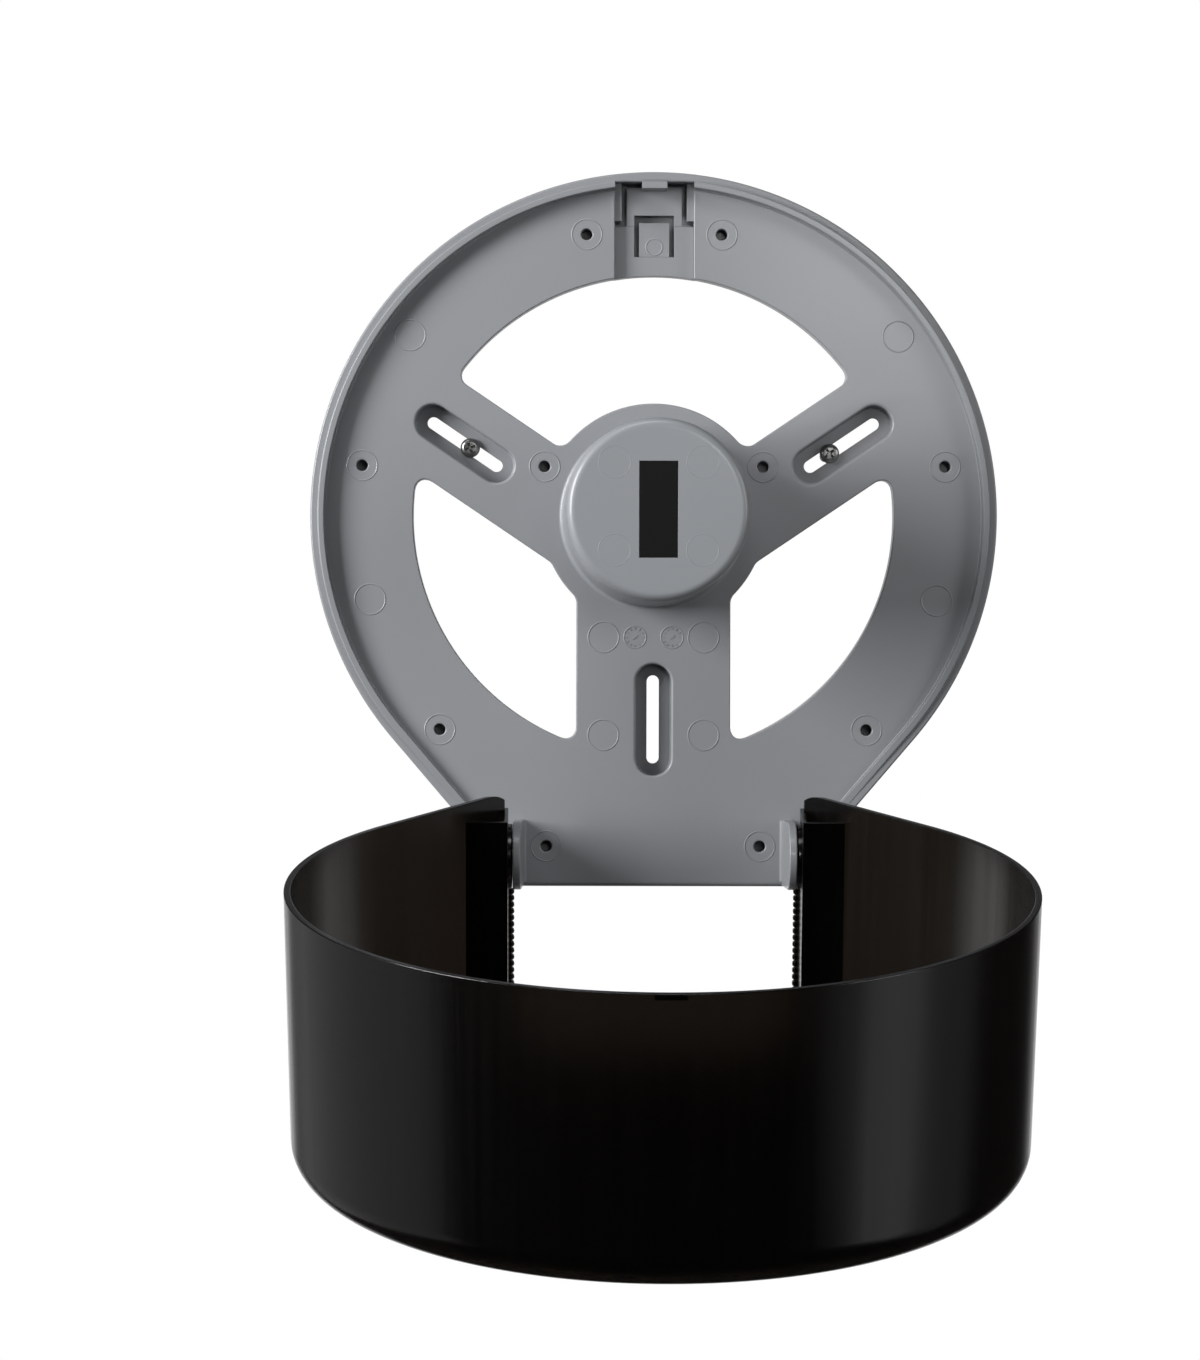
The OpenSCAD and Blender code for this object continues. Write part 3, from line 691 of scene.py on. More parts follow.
def walked(pts, start, step, left):
    """Walks a length along a closed outline: the point reached, the last corner passed and the way on."""
    j = start
    while True:
        k = (j + step) % len(pts)
        d = (pts[k] - pts[j]).length
        if d >= left:
            way = (pts[k] - pts[j]).normalized()
            return pts[j] + way * left, j, way
        left -= d
        j = k


def round_outline(ring, r, sharp=20, steps=6):
    """Rounds each corner of a closed outline that turns by more than the angle, with radius r.
    Each round leaves and meets the sides along their own direction, so curved sides keep their shape."""
    pts = [Vector(p) for p in ring]
    n = len(pts)
    rounds = {}
    dropped = set()
    for c in range(n):
        q, before, after = pts[c], pts[c - 1], pts[(c + 1) % n]
        if (q - before).angle(after - q) <= math.radians(sharp):
            continue
        half = (before - q).normalized().angle((after - q).normalized()) / 2
        p0, j, way0 = walked(pts, c, -1, r / math.tan(half))
        p3, end, way3 = walked(pts, c, 1, r / math.tan(half))
        reach = (p0 - q).length * 0.55
        p1, p2 = p0 - way0 * reach, p3 - way3 * reach
        shares = [s / steps for s in range(steps + 1)]
        rounds[c] = [p0 * (1 - u) ** 3 + p1 * 3 * u * (1 - u) ** 2 + p2 * 3 * u * u * (1 - u) + p3 * u ** 3
                     for u in shares]
        while j != end:
            dropped.add(j)
            j = (j + 1) % n
        dropped.add(end)
    out = []
    for i in range(n):
        if i in rounds:
            out += rounds[i]
        elif i not in dropped:
            out.append(pts[i])
    return [tuple(p) for p in out]


window_top = round_outline(top_window(), WINDOW_ROUND)
window_right = round_outline(right_window(), WINDOW_ROUND)
window_left = [(-x, y) for x, y in reversed(window_right)]


def shares_at(shares, size):
    """Places on both sides from shares of a size."""
    return [(side * x * size, y * size) for x, y in shares for side in (-1, 1)]


pockets = [(LEFT_POCKET, SPOKE_ALONG), (RIGHT_POCKET, RIGHT_ALONG), (LOW_POCKET, Vector((0, 1)))]
posts = shares_at(POST_SHARES, PLATE_R)


def slot_stations(centre, along, steps):
    """Stations round a slot: the middle of its round end, and the way out from there."""
    across = Vector((-along.y, along.x))
    stations = []
    for end in (1, -1):
        for i in range(steps + 1):
            a = math.radians(180 * i / steps - 90 * end)
            out = along * math.cos(a) + across * math.sin(a)
            stations.append((centre + along * (end * SLOT_RUN / 2), out))
    return stations


def in_gate(x, y):
    """True where the latch channel opens into the top window."""
    return abs(x) < CHANNEL_X and y > DISC_R + TUCK


def web():
    """The flat front of the plate: one outline that runs into the top window through the latch channel."""
    arc_steps, side_steps = 90, 4
    drop = PLATE_DROP - BOTTOM_ROUND - TUCK / 2
    right = [tuple(right_half(WEB_EDGE + TUCK, k, arc_steps, side_steps, drop))
             for k in range(arc_steps + side_steps + 1)]
    left = [(-x, y) for x, y in reversed(right)]
    start = max(i for i, p in enumerate(window_top) if in_gate(*p)) + 1
    inner = [p for p in window_top[start:] + window_top[:start] if not in_gate(*p)]
    outline = right + left + [(-CHANNEL_X, CHANNEL_GATE)] + inner + [(CHANNEL_X, CHANNEL_GATE)]
    hole_r = POCKET_R + POCKET_ROUND + WEB_EDGE_ROUND
    holes = [window_left, window_right]
    holes += [[tuple(base + out * hole_r) for base, out in slot_stations(c, a, 14)] for c, a in pockets]
    holes += [circle(p, POST_HOLE_R, 20) for p in posts]
    return cut_plate("web", outline, holes, BACK_H, WEB_H, WEB_EDGE_ROUND)


def outward(ring):
    """The ring in the order that keeps its inside on the left."""
    area = sum(ring[i - 1][0] * ring[i][1] - ring[i][0] * ring[i - 1][1] for i in range(len(ring))) / 2
    return ring if area > 0 else list(reversed(ring))


def window_wall(outline):
    """The wall behind a window's edge. Across the latch channel it stays under the channel's floor."""
    ring = outward(outline)
    rows = []
    for i in range(len(ring)):
        before, q, after = Vector(ring[i - 1]), Vector(ring[i]), Vector(ring[(i + 1) % len(ring)])
        way = (after - before).normalized()
        out = Vector((way.y, -way.x))
        a, b = q - out * SEAM, q + out * WINDOW_WALL
        top = CHANNEL_LOW + SEAM if in_gate(*q) else WEB_H - WEB_EDGE_ROUND
        rows.append([(a.x, a.y, WINDOW_GAP), (a.x, a.y, top), (b.x, b.y, top), (b.x, b.y, WINDOW_GAP)])
    return sweep("window_wall", rows, closed_path=True)


def pocket(centre, along):
    """Screw pocket with its rounded mouth, floor and slot, as one section swept round the slot."""
    mouth = POCKET_R + POCKET_ROUND + 2 * WEB_EDGE_ROUND
    outside = POCKET_R + POCKET_WALL
    section = [(mouth, WEB_H + SEAM)]
    section += arc((POCKET_R + POCKET_ROUND, WEB_H + SEAM - POCKET_ROUND), POCKET_ROUND, 90, 180, 6)
    section += arc((POCKET_R - POCKET_FOOT, POCKET_FLOOR + POCKET_FOOT), POCKET_FOOT, 0, -90, 4)
    section += arc((SLOT_R + SLOT_ROUND, POCKET_FLOOR - SLOT_ROUND), SLOT_ROUND, 90, 180, 3)
    section += [(SLOT_R, 0.0), (outside, 0.0), (outside, BACK_H + SEAM), (mouth, BACK_H + SEAM)]
    rows = [[(base.x + out.x * d, base.y + out.y * d, h) for d, h in section]
            for base, out in slot_stations(centre, along, 16)]
    return sweep("pocket", rows, closed_path=True)


def post(centre):
    """Hollow post behind a blind hole."""
    r = POST_HOLE_R - SEAM
    profile = [(0, POST_FLOOR), (r, POST_FLOOR), (r, WEB_H - WEB_EDGE_ROUND)]
    profile += [(POST_R, BACK_H), (POST_R, 0), (0, 0)]
    return lathe("post", profile, 24, centre)


def ears():
    """Hinge ears with round ends and leaning inner faces, their rounded feet and their pins."""
    top, root = HINGE_H + EAR_R, WEB_H - TUCK
    low_y, high_y = -HINGE_DROP - EAR_R, -HINGE_DROP + EAR_R
    side = [(high_y, root), (high_y, HINGE_H)] + arc((-HINGE_DROP, HINGE_H), EAR_R, 0, 180, 28)[1:-1]
    side += [(low_y, HINGE_H), (low_y, root)]
    lean = math.tan(math.radians(EAR_LEAN))
    inner = [(EAR_IN + (h - top) * lean, y, h) for y, h in side]
    outer = [(EAR_IN + EAR_WALL, y, h) for y, h in side]
    ear = rounded(sweep("ear", [inner, outer]), EAR_ROUND, 3)
    foot = EAR_IN + (WEB_H - top) * lean
    section = [(foot + TUCK, root), (foot - EAR_FILLET, root)]
    section += arc((foot - EAR_FILLET, WEB_H + EAR_FILLET + SEAM), EAR_FILLET, -90, 0, 8)
    section += [(foot + TUCK, WEB_H + EAR_FILLET)]
    fillet = sweep("ear_foot", [[(x, y, h) for x, h in section]
                                for y in (low_y + BOTTOM_ROUND, high_y - EAR_FILLET_SHORT)])
    length = FLANGE_OUT - EAR_IN - PIN_SHORT
    pin = lathe("pin", [(0, 0), (PIN_R - PIN_EDGE, 0), (PIN_R, PIN_EDGE), (PIN_R, length - PIN_ROOT),
                        (PIN_R - PIN_ROOT, length), (0, length)], 32)
    pin.transform(Matrix.Translation((FLANGE_OUT - PIN_SUNK, -HINGE_DROP, HINGE_H))
                  @ Matrix.Rotation(math.radians(-90), 4, "Y"))
    return both(ear) + both(fillet) + both(pin)


def gate_arc(r):
    """The stretch of a circle across the latch channel, from left to right."""
    half = math.degrees(math.asin(CHANNEL_X / r))
    return arc((0, 0), r, 90 + half, 90 - half, 10)


def channel():
    """Latch channel: its floor with the cuts, guide ribs, side walls, mouth and the wall behind."""
    floor_ring = [(CHANNEL_X, PADDLE_FOOT), (TONGUE_ROOM, PADDLE_FOOT), (TONGUE_ROOM, TONGUE_FOOT)]
    floor_ring += [(-x, y) for x, y in reversed(floor_ring)] + gate_arc(RING_R)
    floor = rounded(prism("channel_floor", floor_ring, CHANNEL_LOW, CHANNEL_H), LATCH_ROUND)
    top = CHANNEL_TOP + TUCK / 2
    rib = rounded(block("guide_rib", (PADDLE_X + LATCH_CUT, PADDLE_FOOT + LATCH_CUT, CHANNEL_LOW),
                        (CHANNEL_X + TUCK / 2, top, CHANNEL_H + GUIDE_RISE)), LATCH_ROUND)
    side_wall = block("channel_side", (CHANNEL_X - SEAM, CHANNEL_GATE, 0),
                      (CHANNEL_X + CHANNEL_WALL, top, WEB_H - WEB_EDGE_ROUND))
    back = block("channel_back", (-CHANNEL_X - TUCK, CHANNEL_GATE + CHANNEL_WALL, 0),
                 (CHANNEL_X + TUCK, top, CHANNEL_BACK))
    mouth_ring = gate_arc(RING_R) + list(reversed(gate_arc(RING_R + CHANNEL_WALL)))
    mouth = prism("channel_mouth", mouth_ring, 0.0, CHANNEL_LOW + FLOOR_LAP)
    return [floor, back, mouth] + both(rib) + both(side_wall)


# Geometry Nodes: what repeats is made from a few points, each with the same small form
SOCKETS = {int: "NodeSocketInt", float: "NodeSocketFloat", bpy.types.Material: "NodeSocketMaterial"}


def grow(name, points, build, inputs, edges=()):
    """Runs a node tree, built by build(tree, source), on points and edges and returns the plain mesh."""
    tree = bpy.data.node_groups.new(name, "GeometryNodeTree")
    tree.interface.new_socket("Geometry", in_out="INPUT", socket_type="NodeSocketGeometry")
    for label, value in inputs.items():
        tree.interface.new_socket(label, in_out="INPUT", socket_type=SOCKETS[type(value)])
    tree.interface.new_socket("Geometry", in_out="OUTPUT", socket_type="NodeSocketGeometry")
    source = add(tree, "NodeGroupInput")
    done = add(tree, "GeometryNodeRealizeInstances", i0=build(tree, source))
    painted = add(tree, "GeometryNodeSetMaterial", Geometry=done.outputs[0],
                  Material=source.outputs["Material"])
    add(tree, "NodeGroupOutput", i0=painted.outputs[0])
    mesh = bpy.data.meshes.new(name)
    mesh.from_pydata([tuple(p) for p in points], edges, [])
    holder = linked(name, mesh)
    modifier = holder.modifiers.new(name, "NODES")
    modifier.node_group = tree
    for item in tree.interface.items_tree:
        if item.in_out == "INPUT" and item.name in inputs:
            modifier[item.identifier] = inputs[item.name]
    return plain_mesh(holder)


def mark_ring(tree, source):
    """A thin raised ring round each point."""
    path = add(tree, "GeometryNodeCurvePrimitiveCircle", Resolution=48, Radius=source.outputs["Radius"])
    line = add(tree, "GeometryNodeCurvePrimitiveCircle", Resolution=8, Radius=source.outputs["Width"])
    ring = add(tree, "GeometryNodeCurveToMesh", Curve=path.outputs[0], Profile_Curve=line.outputs[0])
    return add(tree, "GeometryNodeInstanceOnPoints", Points=source.outputs["Geometry"],
               Instance=ring.outputs[0]).outputs[0]


def rings(points, radius, height):
    lift = height - MARK_W / 2 + MARK_H
    return grow("mark_rings", [(x, y, lift) for x, y in points], mark_ring,
                {"Radius": radius, "Width": MARK_W / 2, "Material": plate_abs})


def rib_along(tree, source):
    """A flat rib along each edge."""
    line = add(tree, "GeometryNodeMeshToCurve", Mesh=source.outputs["Geometry"])
    face = add(tree, "GeometryNodeCurvePrimitiveQuadrilateral", Width=source.outputs["Wall"],
               Height=source.outputs["Rise"])
    return add(tree, "GeometryNodeCurveToMesh", Curve=line.outputs[0], Profile_Curve=face.outputs[0],
               Fill_Caps=True).outputs[0]


def ribs():
    """Stiffening ribs behind the plate, as runs of (bearing, start, end) between its other features."""
    inner, outer, rim = DISC_R - WINDOW_WALL / 2, RING_R + WINDOW_WALL / 2, LIP_OUT + RIM_WALL / 2
    reach = SLOT_RUN / 2 + POCKET_R + POCKET_WALL / 2
    runs = [(30, 0, rim), (150, 0, rim), (90, 0, inner), (210, 0, inner), (330, 0, inner)]
    runs += [(210, outer, rim), (330, outer, rim), (270, 0, -LOW_POCKET.y - reach)]
    runs += [(270, reach - LOW_POCKET.y, PLATE_DROP - RIM_WALL / 2)]
    middle = (RIB_GAP + BACK_H + SEAM) / 2
    points = []
    for degrees, start, end in runs:
        c, s = math.cos(math.radians(degrees)), math.sin(math.radians(degrees))
        points += [(start * c, start * s, middle), (end * c, end * s, middle)]
    return grow("ribs", points, rib_along,
                {"Wall": RIB_WALL, "Rise": BACK_H - RIB_GAP + SEAM, "Material": plate_abs},
                [(2 * i, 2 * i + 1) for i in range(len(runs))])


def dial(tree, source):
    """Plain moulder's dial at each point: short ticks round it and a pointer, with no figures."""
    path = add(tree, "GeometryNodeMeshCircle", Vertices=source.outputs["Ticks"],
               Radius=source.outputs["Radius"])
    turned = add(tree, "FunctionNodeAlignRotationToVector", {"axis": "X"},
                 Vector=add(tree, "GeometryNodeInputPosition").outputs[0])
    tick = add(tree, "GeometryNodeMeshCube", Size=(TICK_L, TICK_W, MARK_H))
    ticks = add(tree, "GeometryNodeInstanceOnPoints", Points=path.outputs[0], Instance=tick.outputs[0],
                Rotation=turned.outputs[0])
    pointer = add(tree, "GeometryNodeMeshCube", Size=(2 * TICK_L + TICK_W, 2 * TICK_W, MARK_H))
    leaning = add(tree, "GeometryNodeTransform", Geometry=pointer.outputs[0],
                  Rotation=(0, 0, math.radians(DIAL_TURN)))
    face = add(tree, "GeometryNodeJoinGeometry", i0=ticks.outputs[0])
    feed(tree, face, i0=leaning.outputs[0])
    return add(tree, "GeometryNodeInstanceOnPoints", Points=source.outputs["Geometry"],
               Instance=face.outputs[0]).outputs[0]


def dials():
    lift = WEB_H + MARK_H / 2 - SEAM
    return grow("dials", [(x, y, lift) for x, y in shares_at(DIAL_SHARES, PLATE_R)], dial,
                {"Ticks": DIAL_TICKS, "Radius": DIAL_R - TICK_L, "Material": plate_abs})


plate_meshes = [web(), bridge(), bottom_edge()] + both(rim_half()) + ears() + channel()
plate_meshes += [pocket(c, a) for c, a in pockets] + [post(p) for p in posts]
plate_meshes += [window_wall(w) for w in (window_top, window_left, window_right)]
plate_meshes += [rings(posts, POST_MARK_R, WEB_H), rings(shares_at(DIAL_SHARES, PLATE_R), DIAL_R, WEB_H)]
plate_meshes += [rings(shares_at(PIN_MARK_SHARES, PLATE_R), PIN_MARK_R, WEB_H), dials(), ribs()]
plate_meshes.append(lathe("pad", [(0, 0), (PAD_R, 0), (PAD_R, BACK_H + SEAM), (0, BACK_H + SEAM)], 40))
piece("back_plate_moulding", "back_plate", plate_meshes, plate_abs, "mounted_plate", UPRIGHT)


# Hub
def hub():
    """The drum's shell, its face with the hole for the insert, and the marks on the face."""
    root, flare = WEB_H - TUCK / 2, HUB_BASE_R + HUB_FOOT
    shoulder = HUB_R - HUB_ROUND
    profile = [(HUB_BASE_R - HUB_STEP, root), (flare, root), (flare, WEB_H + SEAM)]
    profile += arc((flare, WEB_H + HUB_FOOT), HUB_FOOT, -90, -180, 5)[1:]
    profile += [(HUB_R, HUB_H - HUB_STRAIGHT)]
    profile += arc((shoulder, HUB_H - HUB_ROUND), HUB_ROUND, 0, 90, 8)
    profile += [(shoulder - TUCK, HUB_H), (shoulder - TUCK, HUB_H - HUB_WALL), (shoulder, HUB_H - HUB_WALL)]
    profile += [(HUB_R - HUB_WALL, HUB_H - HUB_ROUND - HUB_STEP), (HUB_BASE_R - HUB_WALL, root), profile[0]]
    shell = lathe("hub_shell", profile, 128)
    w, l = INSERT_W / 2, INSERT_L / 2
    hole = [(-w, -l), (w, -l), (w, l), (-w, l)]
    face = cut_plate("hub_face", circle((0, 0), shoulder - TUCK / 2, 96), [hole], HUB_H - HUB_WALL - SEAM,
                     HUB_H - SEAM, FACE_ROUND)
    return [shell, face, rings(shares_at(HUB_MARK_SHARES, HUB_R), PIN_MARK_R, HUB_H - HUB_MARK_SINK)]


def insert():
    w, l = INSERT_W / 2 - INSERT_GAP, INSERT_L / 2 - INSERT_GAP
    return rounded(block("insert", (-w, -l, HUB_H - HUB_WALL - INSERT_BACK), (w, l, HUB_H)), INSERT_ROUND)


piece("roll_hub_drum", "roll_hub", hub(), hub_abs, "mounted_plate", UPRIGHT)
piece("hub_insert_plate", "hub_insert", [insert()], black_abs, "mounted_plate", UPRIGHT)


# Latch
def paddle():
    """Springy frame of the latch with its hooked catch."""
    half = [(TONGUE_ROOM, PADDLE_LOW), (TONGUE_ROOM, PADDLE_FOOT)]
    half += [(PADDLE_X, PADDLE_FOOT), (PADDLE_X, PADDLE_TOP)]
    outline = [(-x, y) for x, y in reversed(half)] + half
    barb_top = BARB_H + BARB_WALL
    catch = [(CHANNEL_LOW, CATCH_TOP - CATCH_WALL), (barb_top, CATCH_TOP - CATCH_WALL)]
    catch += [(barb_top, CATCH_TOP), (BARB_H, CATCH_TOP + BARB_RISE)]
    catch += [(BARB_H, CATCH_TOP), (CHANNEL_LOW, CATCH_TOP)]
    return [rounded(prism("paddle", outline, CHANNEL_LOW, CHANNEL_H), LATCH_ROUND),
            rounded(prism("catch", catch, -CATCH_X, CATCH_X, side_on), LATCH_ROUND)]


def tongue():
    """Springy tongue inside the frame, with a sloping tip and a raised ring."""
    side = [(CHANNEL_LOW, TONGUE_FOOT), (CHANNEL_H, TONGUE_FOOT), (CHANNEL_H, TONGUE_TOP - TONGUE_SLOPE),
            (CHANNEL_LOW + TONGUE_TIP, TONGUE_TOP), (CHANNEL_LOW, TONGUE_TOP)]
    return [rounded(prism("tongue", side, -TONGUE_X, TONGUE_X, side_on), TONGUE_ROUND),
            rings([(0, TONGUE_FOOT + TONGUE_MARK_R + MARK_W)], TONGUE_MARK_R, CHANNEL_H)]


piece("latch_paddle_arm", "latch_paddle", paddle(), plate_abs, "latch_paddle", UPRIGHT)
piece("latch_tongue_arm", "latch_tongue", tongue(), plate_abs, "latch_tongue", UPRIGHT)


# Cover
def cover_section(inset):
    """Radius and height up the cover's drafted wall and round its front edge, at an inset from outside."""
    slant = math.hypot(1, DRAFT)
    bend = FRONT_ROUND - inset
    bend_h = FRONT_H - FRONT_ROUND
    foot = PLATE_R - inset * slant
    bend_r = foot - DRAFT * (bend_h - RIM_AT) - bend * slant
    wall_r, wall_h = bend_r + bend / slant - foot, bend_h + bend * DRAFT / slant - RIM_AT
    wall = [(foot + wall_r * i / 6, RIM_AT + wall_h * i / 6) for i in range(6)]
    return wall + arc((bend_r, bend_h), bend, DRAFT_DEG, 90, 10)


def capped_skin(name, rows):
    """Closes rows of points round the outline: both ends of the rows, and a flat foot from side to side."""
    n = len(rows[0])
    end = (len(rows) - 1) * n
    faces = [(k * n + i, k * n + i + 1, (k + 1) * n + i + 1, (k + 1) * n + i)
             for k in range(len(rows) - 1) for i in range(n - 1)]
    faces.append(tuple(k * n for k in range(len(rows))))
    faces.append(tuple(k * n + n - 1 for k in reversed(range(len(rows)))))
    faces.append(tuple(range(n)) + tuple(end + i for i in reversed(range(n))))
    return mesh_from(name, [p for row in rows for p in row], faces)


def cover_shell():
    """Wall and front of the cover as one closed skin, with rounded lower corners and the paper's mouth."""
    arc_steps, side_steps = 150, 40
    outer, inner = cover_section(0), cover_section(COVER_WALL)
    section = list(reversed(inner[1:]))
    section += arc((inner[0][0] + EDGE_ROUND, RIM_AT + EDGE_ROUND), EDGE_ROUND, 180, 270, 5)
    section += arc((outer[0][0] - EDGE_ROUND, RIM_AT + EDGE_ROUND), EDGE_ROUND, 270, 360, 5)
    section += outer[1:]
    rows = []
    for k in range(arc_steps + 2 * side_steps + 1):
        straight = k < side_steps or k > side_steps + arc_steps
        row = []
        for r, h in section:
            p = on_outline(r, k, arc_steps, side_steps, COVER_DROP)
            run = (p.y + COVER_DROP) / -SIDE_RUN.y if straight else CORNER_RUN
            if run < CORNER_RUN:
                lift = CORNER_R - math.sqrt(CORNER_R ** 2 - (CORNER_RUN - run) ** 2)
                h += lift * max(0.0, 1 - (h - RIM_AT) / (3 * CORNER_R))
            row.append((p.x, p.y, h))
        rows.append(row)
    mouth = FLANGE_OUT - MOUTH_LAP
    room = block("mouth", (-mouth, -COVER_DROP - TUCK, RIM_AT - TUCK),
                 (mouth, -LEDGE_DROP, FRONT_H - FRONT_ROUND))
    return carved(capped_skin("cover_shell", rows), room)


def cover_block():
    """The cover's outer form as one solid, which trims what stands inside it."""
    arc_steps, side_steps = 150, 4
    section = cover_section(BLOCK_INSET)
    rows = []
    for k in range(arc_steps + 2 * side_steps + 1):
        rows.append([(*on_outline(r, k, arc_steps, side_steps, COVER_DROP), h) for r, h in section])
    return capped_skin("cover_block", rows)


def flange_parts():
    """Hinge flange with its boss and bore, the ledge that joins it to the wall, and the tear edge's bar."""
    hair = 2 * SEAM
    ledge_x = corner_x(PLATE_R - COVER_WALL / 2 - LEDGE_SHORT, LEDGE_DROP + LEDGE_WALL)
    far = FRONT_H - COVER_WALL / 2
    ring = [(FLANGE_AT, -COVER_DROP), (far, -COVER_DROP), (far, -LEDGE_DROP), (FLANGE_AT, -LEDGE_DROP)]
    flange = rounded(prism("flange", ring, FLANGE_IN, FLANGE_OUT, side_on), FLANGE_ROUND)
    ledge = block("ledge", (FLANGE_IN + LEDGE_TUCK, -LEDGE_DROP - LEDGE_WALL, FLANGE_AT + hair),
                  (ledge_x, -LEDGE_DROP - hair, far))
    bar = block("tear_bar", (TEETH_ROOT, -COVER_DROP, TEETH_FROM),
                (FLANGE_IN + TUCK / 2, -COVER_DROP + TEETH_WALL, INSIDE_H + TUCK / 2))
    bore, depth = PIN_R + PIN_PLAY, BOSS_WALL + BOSS_EDGE
    boss = lathe("boss", [(bore, 0), (BOSS_R - BOSS_EDGE, 0), (BOSS_R, BOSS_EDGE), (BOSS_R, depth),
                          (bore, depth), (bore, 0)], 48)
    boss.transform(Matrix.Translation((FLANGE_IN - BOSS_WALL, -HINGE_DROP, HINGE_H))
                   @ Matrix.Rotation(math.radians(90), 4, "Y"))
    standing = (flange, rounded(ledge, LEDGE_ROUND), rounded(bar, LEDGE_ROUND))
    trimmed = [carved(mesh, cover_block(), "INTERSECT") for mesh in standing]
    return [mesh for part in trimmed + [boss] for mesh in both(part)]


def tooth_row(tree, source):
    """A row of round-nosed tear teeth."""
    line = add(tree, "GeometryNodeMeshLine", {"mode": "OFFSET"}, Count=source.outputs["Count"],
               Start_Location=(TEETH_ROOT, -COVER_DROP + TEETH_WALL / 2, TEETH_FROM + TEETH_PITCH / 2),
               Offset=(0, 0, TEETH_PITCH))
    nose = add(tree, "GeometryNodeMeshCylinder", {"fill_type": "NGON"}, Vertices=16,
               Radius=source.outputs["Nose"], Depth=TEETH_WALL - 2 * TOOTH_INSET)
    flat = add(tree, "GeometryNodeTransform", Geometry=nose.outputs["Mesh"], Rotation=(math.pi / 2, 0, 0))
    return add(tree, "GeometryNodeInstanceOnPoints", Points=line.outputs[0],
               Instance=flat.outputs[0]).outputs[0]


def cover():
    """The whole cover, with its teeth and the keeper rib that the catch holds."""
    teeth = grow("tear_teeth", [(0, 0, 0)], tooth_row,
                 {"Count": TEETH_N, "Nose": TEETH_D, "Material": cover_smoke})
    teeth = carved(teeth, cover_block(), "INTERSECT")
    keeper = block("keeper", (-KEEPER_X, KEEPER_LOW, KEEPER_H),
                   (KEEPER_X, PLATE_R - COVER_WALL / 2 - KEEPER_ROOT, KEEPER_H + KEEPER_WALL))
    return [cover_shell(), rounded(keeper, KEEPER_ROUND)] + flange_parts() + both(teeth)


piece("cover_shell", "cover", cover(), cover_smoke, "cover", SWUNG)


# Wall screws
def thread_ridge(tree, source):
    """A ridge that winds up the shank."""
    spiral = add(tree, "GeometryNodeCurveSpiral", Resolution=20, Rotations=source.outputs["Turns"],
                 Start_Radius=SHANK_R, End_Radius=SHANK_R, Height=source.outputs["Length"], Reverse=False)
    ridge = add(tree, "GeometryNodeCurvePrimitiveCircle", Resolution=6, Radius=source.outputs["Rise"])
    return add(tree, "GeometryNodeCurveToMesh", Curve=spiral.outputs[0], Profile_Curve=ridge.outputs[0],
               Fill_Caps=True).outputs[0]


def screw(name, centre, cross_deg):
    """Round-headed cross-head screw with its thread, seated on a pocket's floor."""
    profile = [(0, HEAD_H)] + arc((HEAD_R - HEAD_ROUND, HEAD_H - HEAD_ROUND), HEAD_ROUND, 90, 0, 8)
    profile += [(HEAD_R, HEAD_EDGE), (HEAD_R - HEAD_EDGE, 0), (SHANK_R, 0)]
    profile += [(SHANK_R, POINT_L - SCREW_L), (POINT_R, -SCREW_L), (0, -SCREW_L)]
    w, l = CROSS_W / 2, CROSS_L / 2
    cross = [(w, w), (w, l), (-w, l)]
    for _ in range(3):
        cross += [(-y, x) for x, y in cross[-3:]]
    levels = ((CROSS_NARROW, HEAD_H - CROSS_D), (CROSS_WIDE, HEAD_H + CROSS_CLEAR))
    cutter = sweep("cross", [[(x * scale, y * scale, h) for x, y in cross] for scale, h in levels])
    cut = carved(lathe(name, profile, 40), cutter)
    cut.transform(Matrix.Rotation(math.radians(cross_deg), 4, "Z"))
    length = SCREW_L - POINT_L - SHANK_PLAIN
    helix = grow(name + "_thread", [(0, 0, 0)], thread_ridge,
                 {"Turns": length / THREAD_PITCH, "Length": length, "Rise": THREAD_RISE,
                  "Material": screw_steel})
    helix.transform(Matrix.Translation((0, 0, POINT_L - SCREW_L)))
    for mesh in (cut, helix):
        mesh.transform(Matrix.Translation((centre.x, centre.y, POCKET_FLOOR)))
    return [cut, helix]


for hand, centre, cross_deg in (("left", LEFT_POCKET + SPOKE_ALONG * SCREW_LEFT_RUN, LEFT_CROSS_DEG),
                                ("right", RIGHT_POCKET + RIGHT_ALONG * SCREW_RIGHT_RUN, RIGHT_CROSS_DEG)):
    piece("wall_screw_" + hand + "_steel", "wall_screw_" + hand, screw("screw_" + hand, centre, cross_deg),
          screw_steel, "mounted_plate", UPRIGHT)

# Camera, fitted to the photograph: place in metres, turns in radians, focal length in pixels
EYE = Vector((-0.03548, -1.67172, -0.04780))
YAW, PITCH, ROLL = 0.0092, 0.0087, 0.0024
FOCAL_PX, LONG_PX, SENSOR_MM = 4379.84, 1360, 36
forward = Vector((math.sin(YAW) * math.cos(PITCH), math.cos(YAW) * math.cos(PITCH), -math.sin(PITCH)))
level = Vector((math.cos(YAW), -math.sin(YAW), 0))
upward = level.cross(forward)
aside = level * math.cos(ROLL) + upward * math.sin(ROLL)
rise = upward * math.cos(ROLL) - level * math.sin(ROLL)
camera = linked("photo_camera", bpy.data.cameras.new("photo_camera"))
camera.matrix_world = Matrix.Translation(EYE) @ Matrix((aside, rise, -forward)).transposed().to_4x4()
camera.data.sensor_width = SENSOR_MM
camera.data.lens = FOCAL_PX * SENSOR_MM / LONG_PX
bpy.context.scene.camera = camera


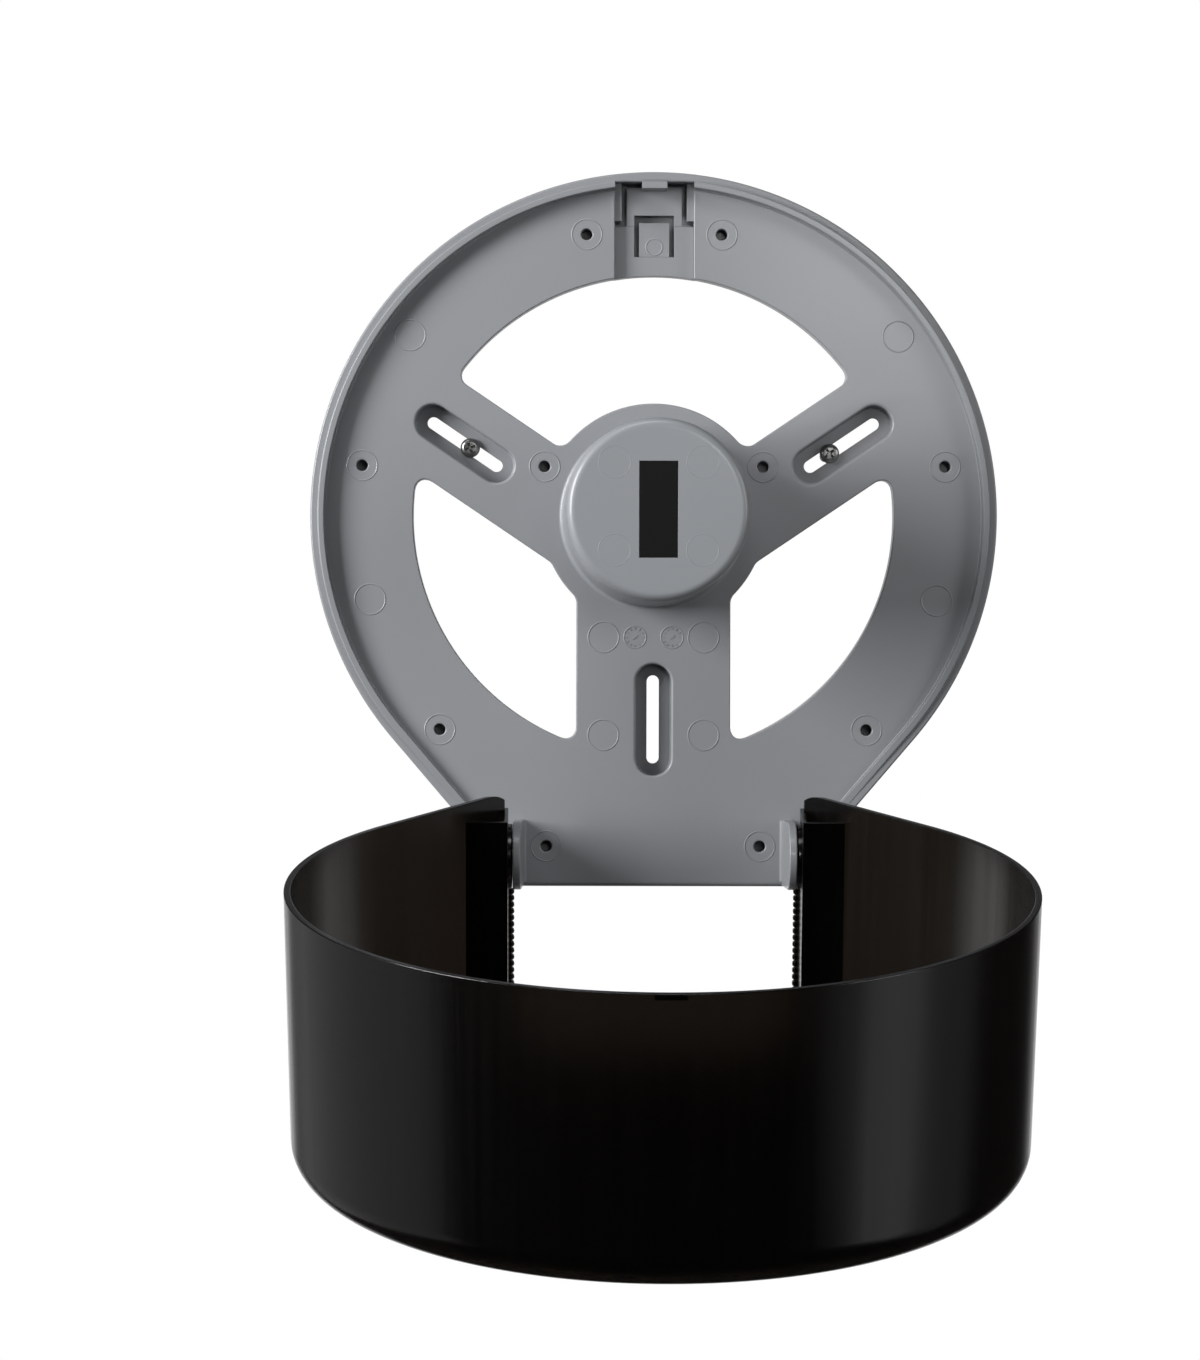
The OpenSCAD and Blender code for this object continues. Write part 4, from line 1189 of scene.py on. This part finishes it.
# Studio: white backdrop, pale floor below, soft boxes and reflector cards
def softbox(name, place, aim, width, height, watts):
    """A soft rectangular light that isn't seen itself."""
    lamp = linked(name, bpy.data.lights.new(name, "AREA"))
    lamp.data.shape = "RECTANGLE"
    lamp.data.size = width
    lamp.data.size_y = height
    lamp.data.energy = watts
    lamp.location = place
    lamp.rotation_euler = (Vector(aim) - Vector(place)).to_track_quat("-Z", "Y").to_euler()
    lamp.visible_camera = False
    lamp.visible_transmission = False


softbox("softbox_left", (-1.15, -0.68, 0.3), (0, 0, 0), 0.6, 0.7, 26)
softbox("softbox_right", (1.2, -0.8, 0.25), (0, 0, 0), 0.5, 0.7, 5)
softbox("softbox_top", (-0.2, -0.8, 1.2), (0, 0, 0), 0.8, 0.4, 5)
softbox("lamp_by_camera", (0.21, -1.75, 0.24), (0.03, 0, 0.03), 0.2, 0.2, 1.5)
softbox("card_left", (-0.9, 0.35, -0.3), (0, 0.35, -0.3), 1.6, 1.2, 1.8)
softbox("card_right", (0.9, -0.45, -0.3), (0, -0.45, -0.3), 1.0, 1.0, 0.5)
softbox("card_right_core", (0.89, -0.47, -0.42), (0, -0.47, -0.42), 0.36, 0.7, 0.4)
softbox("card_behind", (0.0, 0.06, -0.27), (0.0, -1, -0.27), 0.4, 0.26, 0.14)

# The backdrop is white to the camera and through the smoked cover, and dim in reflections except from behind
world = bpy.data.worlds.new("studio")
bpy.context.scene.world = world
world.use_nodes = True
sky = world.node_tree
sky.nodes.clear()
ray = add(sky, "ShaderNodeLightPath")
facing = add(sky, "ShaderNodeSeparateXYZ", Vector=add(sky, "ShaderNodeTexCoord").outputs["Generated"])
behind = add(sky, "ShaderNodeMapRange", {"interpolation_type": "SMOOTHSTEP"}, Value=facing.outputs[1],
             From_Min=0.87, From_Max=0.995, To_Min=0.01, To_Max=0.9)
through = add(sky, "ShaderNodeMath", {"operation": "MAXIMUM"}, i0=ray.outputs["Is Camera Ray"],
              i1=ray.outputs["Is Transmission Ray"])
seen = add(sky, "ShaderNodeMath", {"operation": "MAXIMUM"}, i0=through.outputs[0], i1=behind.outputs[0])
glow = add(sky, "ShaderNodeBackground", Color=(1, 1, 1, 1), Strength=seen.outputs[0])
add(sky, "ShaderNodeOutputWorld", i0=glow.outputs[0])

# Pale floor, in metres: half width, front and back edge, and height
FLOOR_X, FLOOR_FRONT, FLOOR_REAR, FLOOR_Z = 1.2, -1.5, 0.35, -0.45
floor_mesh = bpy.data.meshes.new("studio_floor")
floor_mesh.from_pydata([(-FLOOR_X, FLOOR_FRONT, FLOOR_Z), (FLOOR_X, FLOOR_FRONT, FLOOR_Z),
                        (FLOOR_X, FLOOR_REAR, FLOOR_Z), (-FLOOR_X, FLOOR_REAR, FLOOR_Z)], [], [(0, 1, 2, 3)])
pale, pale_tree, pale_skin = new_material("pale_matt_floor")
floor_place = add(pale_tree, "ShaderNodeTexCoord").outputs["Object"]
speck = add(pale_tree, "ShaderNodeTexNoise", Vector=floor_place, Scale=spaced(FLOOR_SPECK))
pale_tone = add(pale_tree, "ShaderNodeMix", {"data_type": "RGBA"}, i0=speck.outputs[0], i6=linear("ecebe8"),
                i7=linear("f2f1ee"))
feed(pale_tree, pale_skin, Base_Color=pale_tone.outputs[2], Roughness=0.8)
floor_mesh.materials.append(pale)
floor = linked("studio_floor", floor_mesh)
floor.visible_glossy = False
floor.visible_diffuse = False
bpy.context.scene.view_settings.view_transform = "Standard"
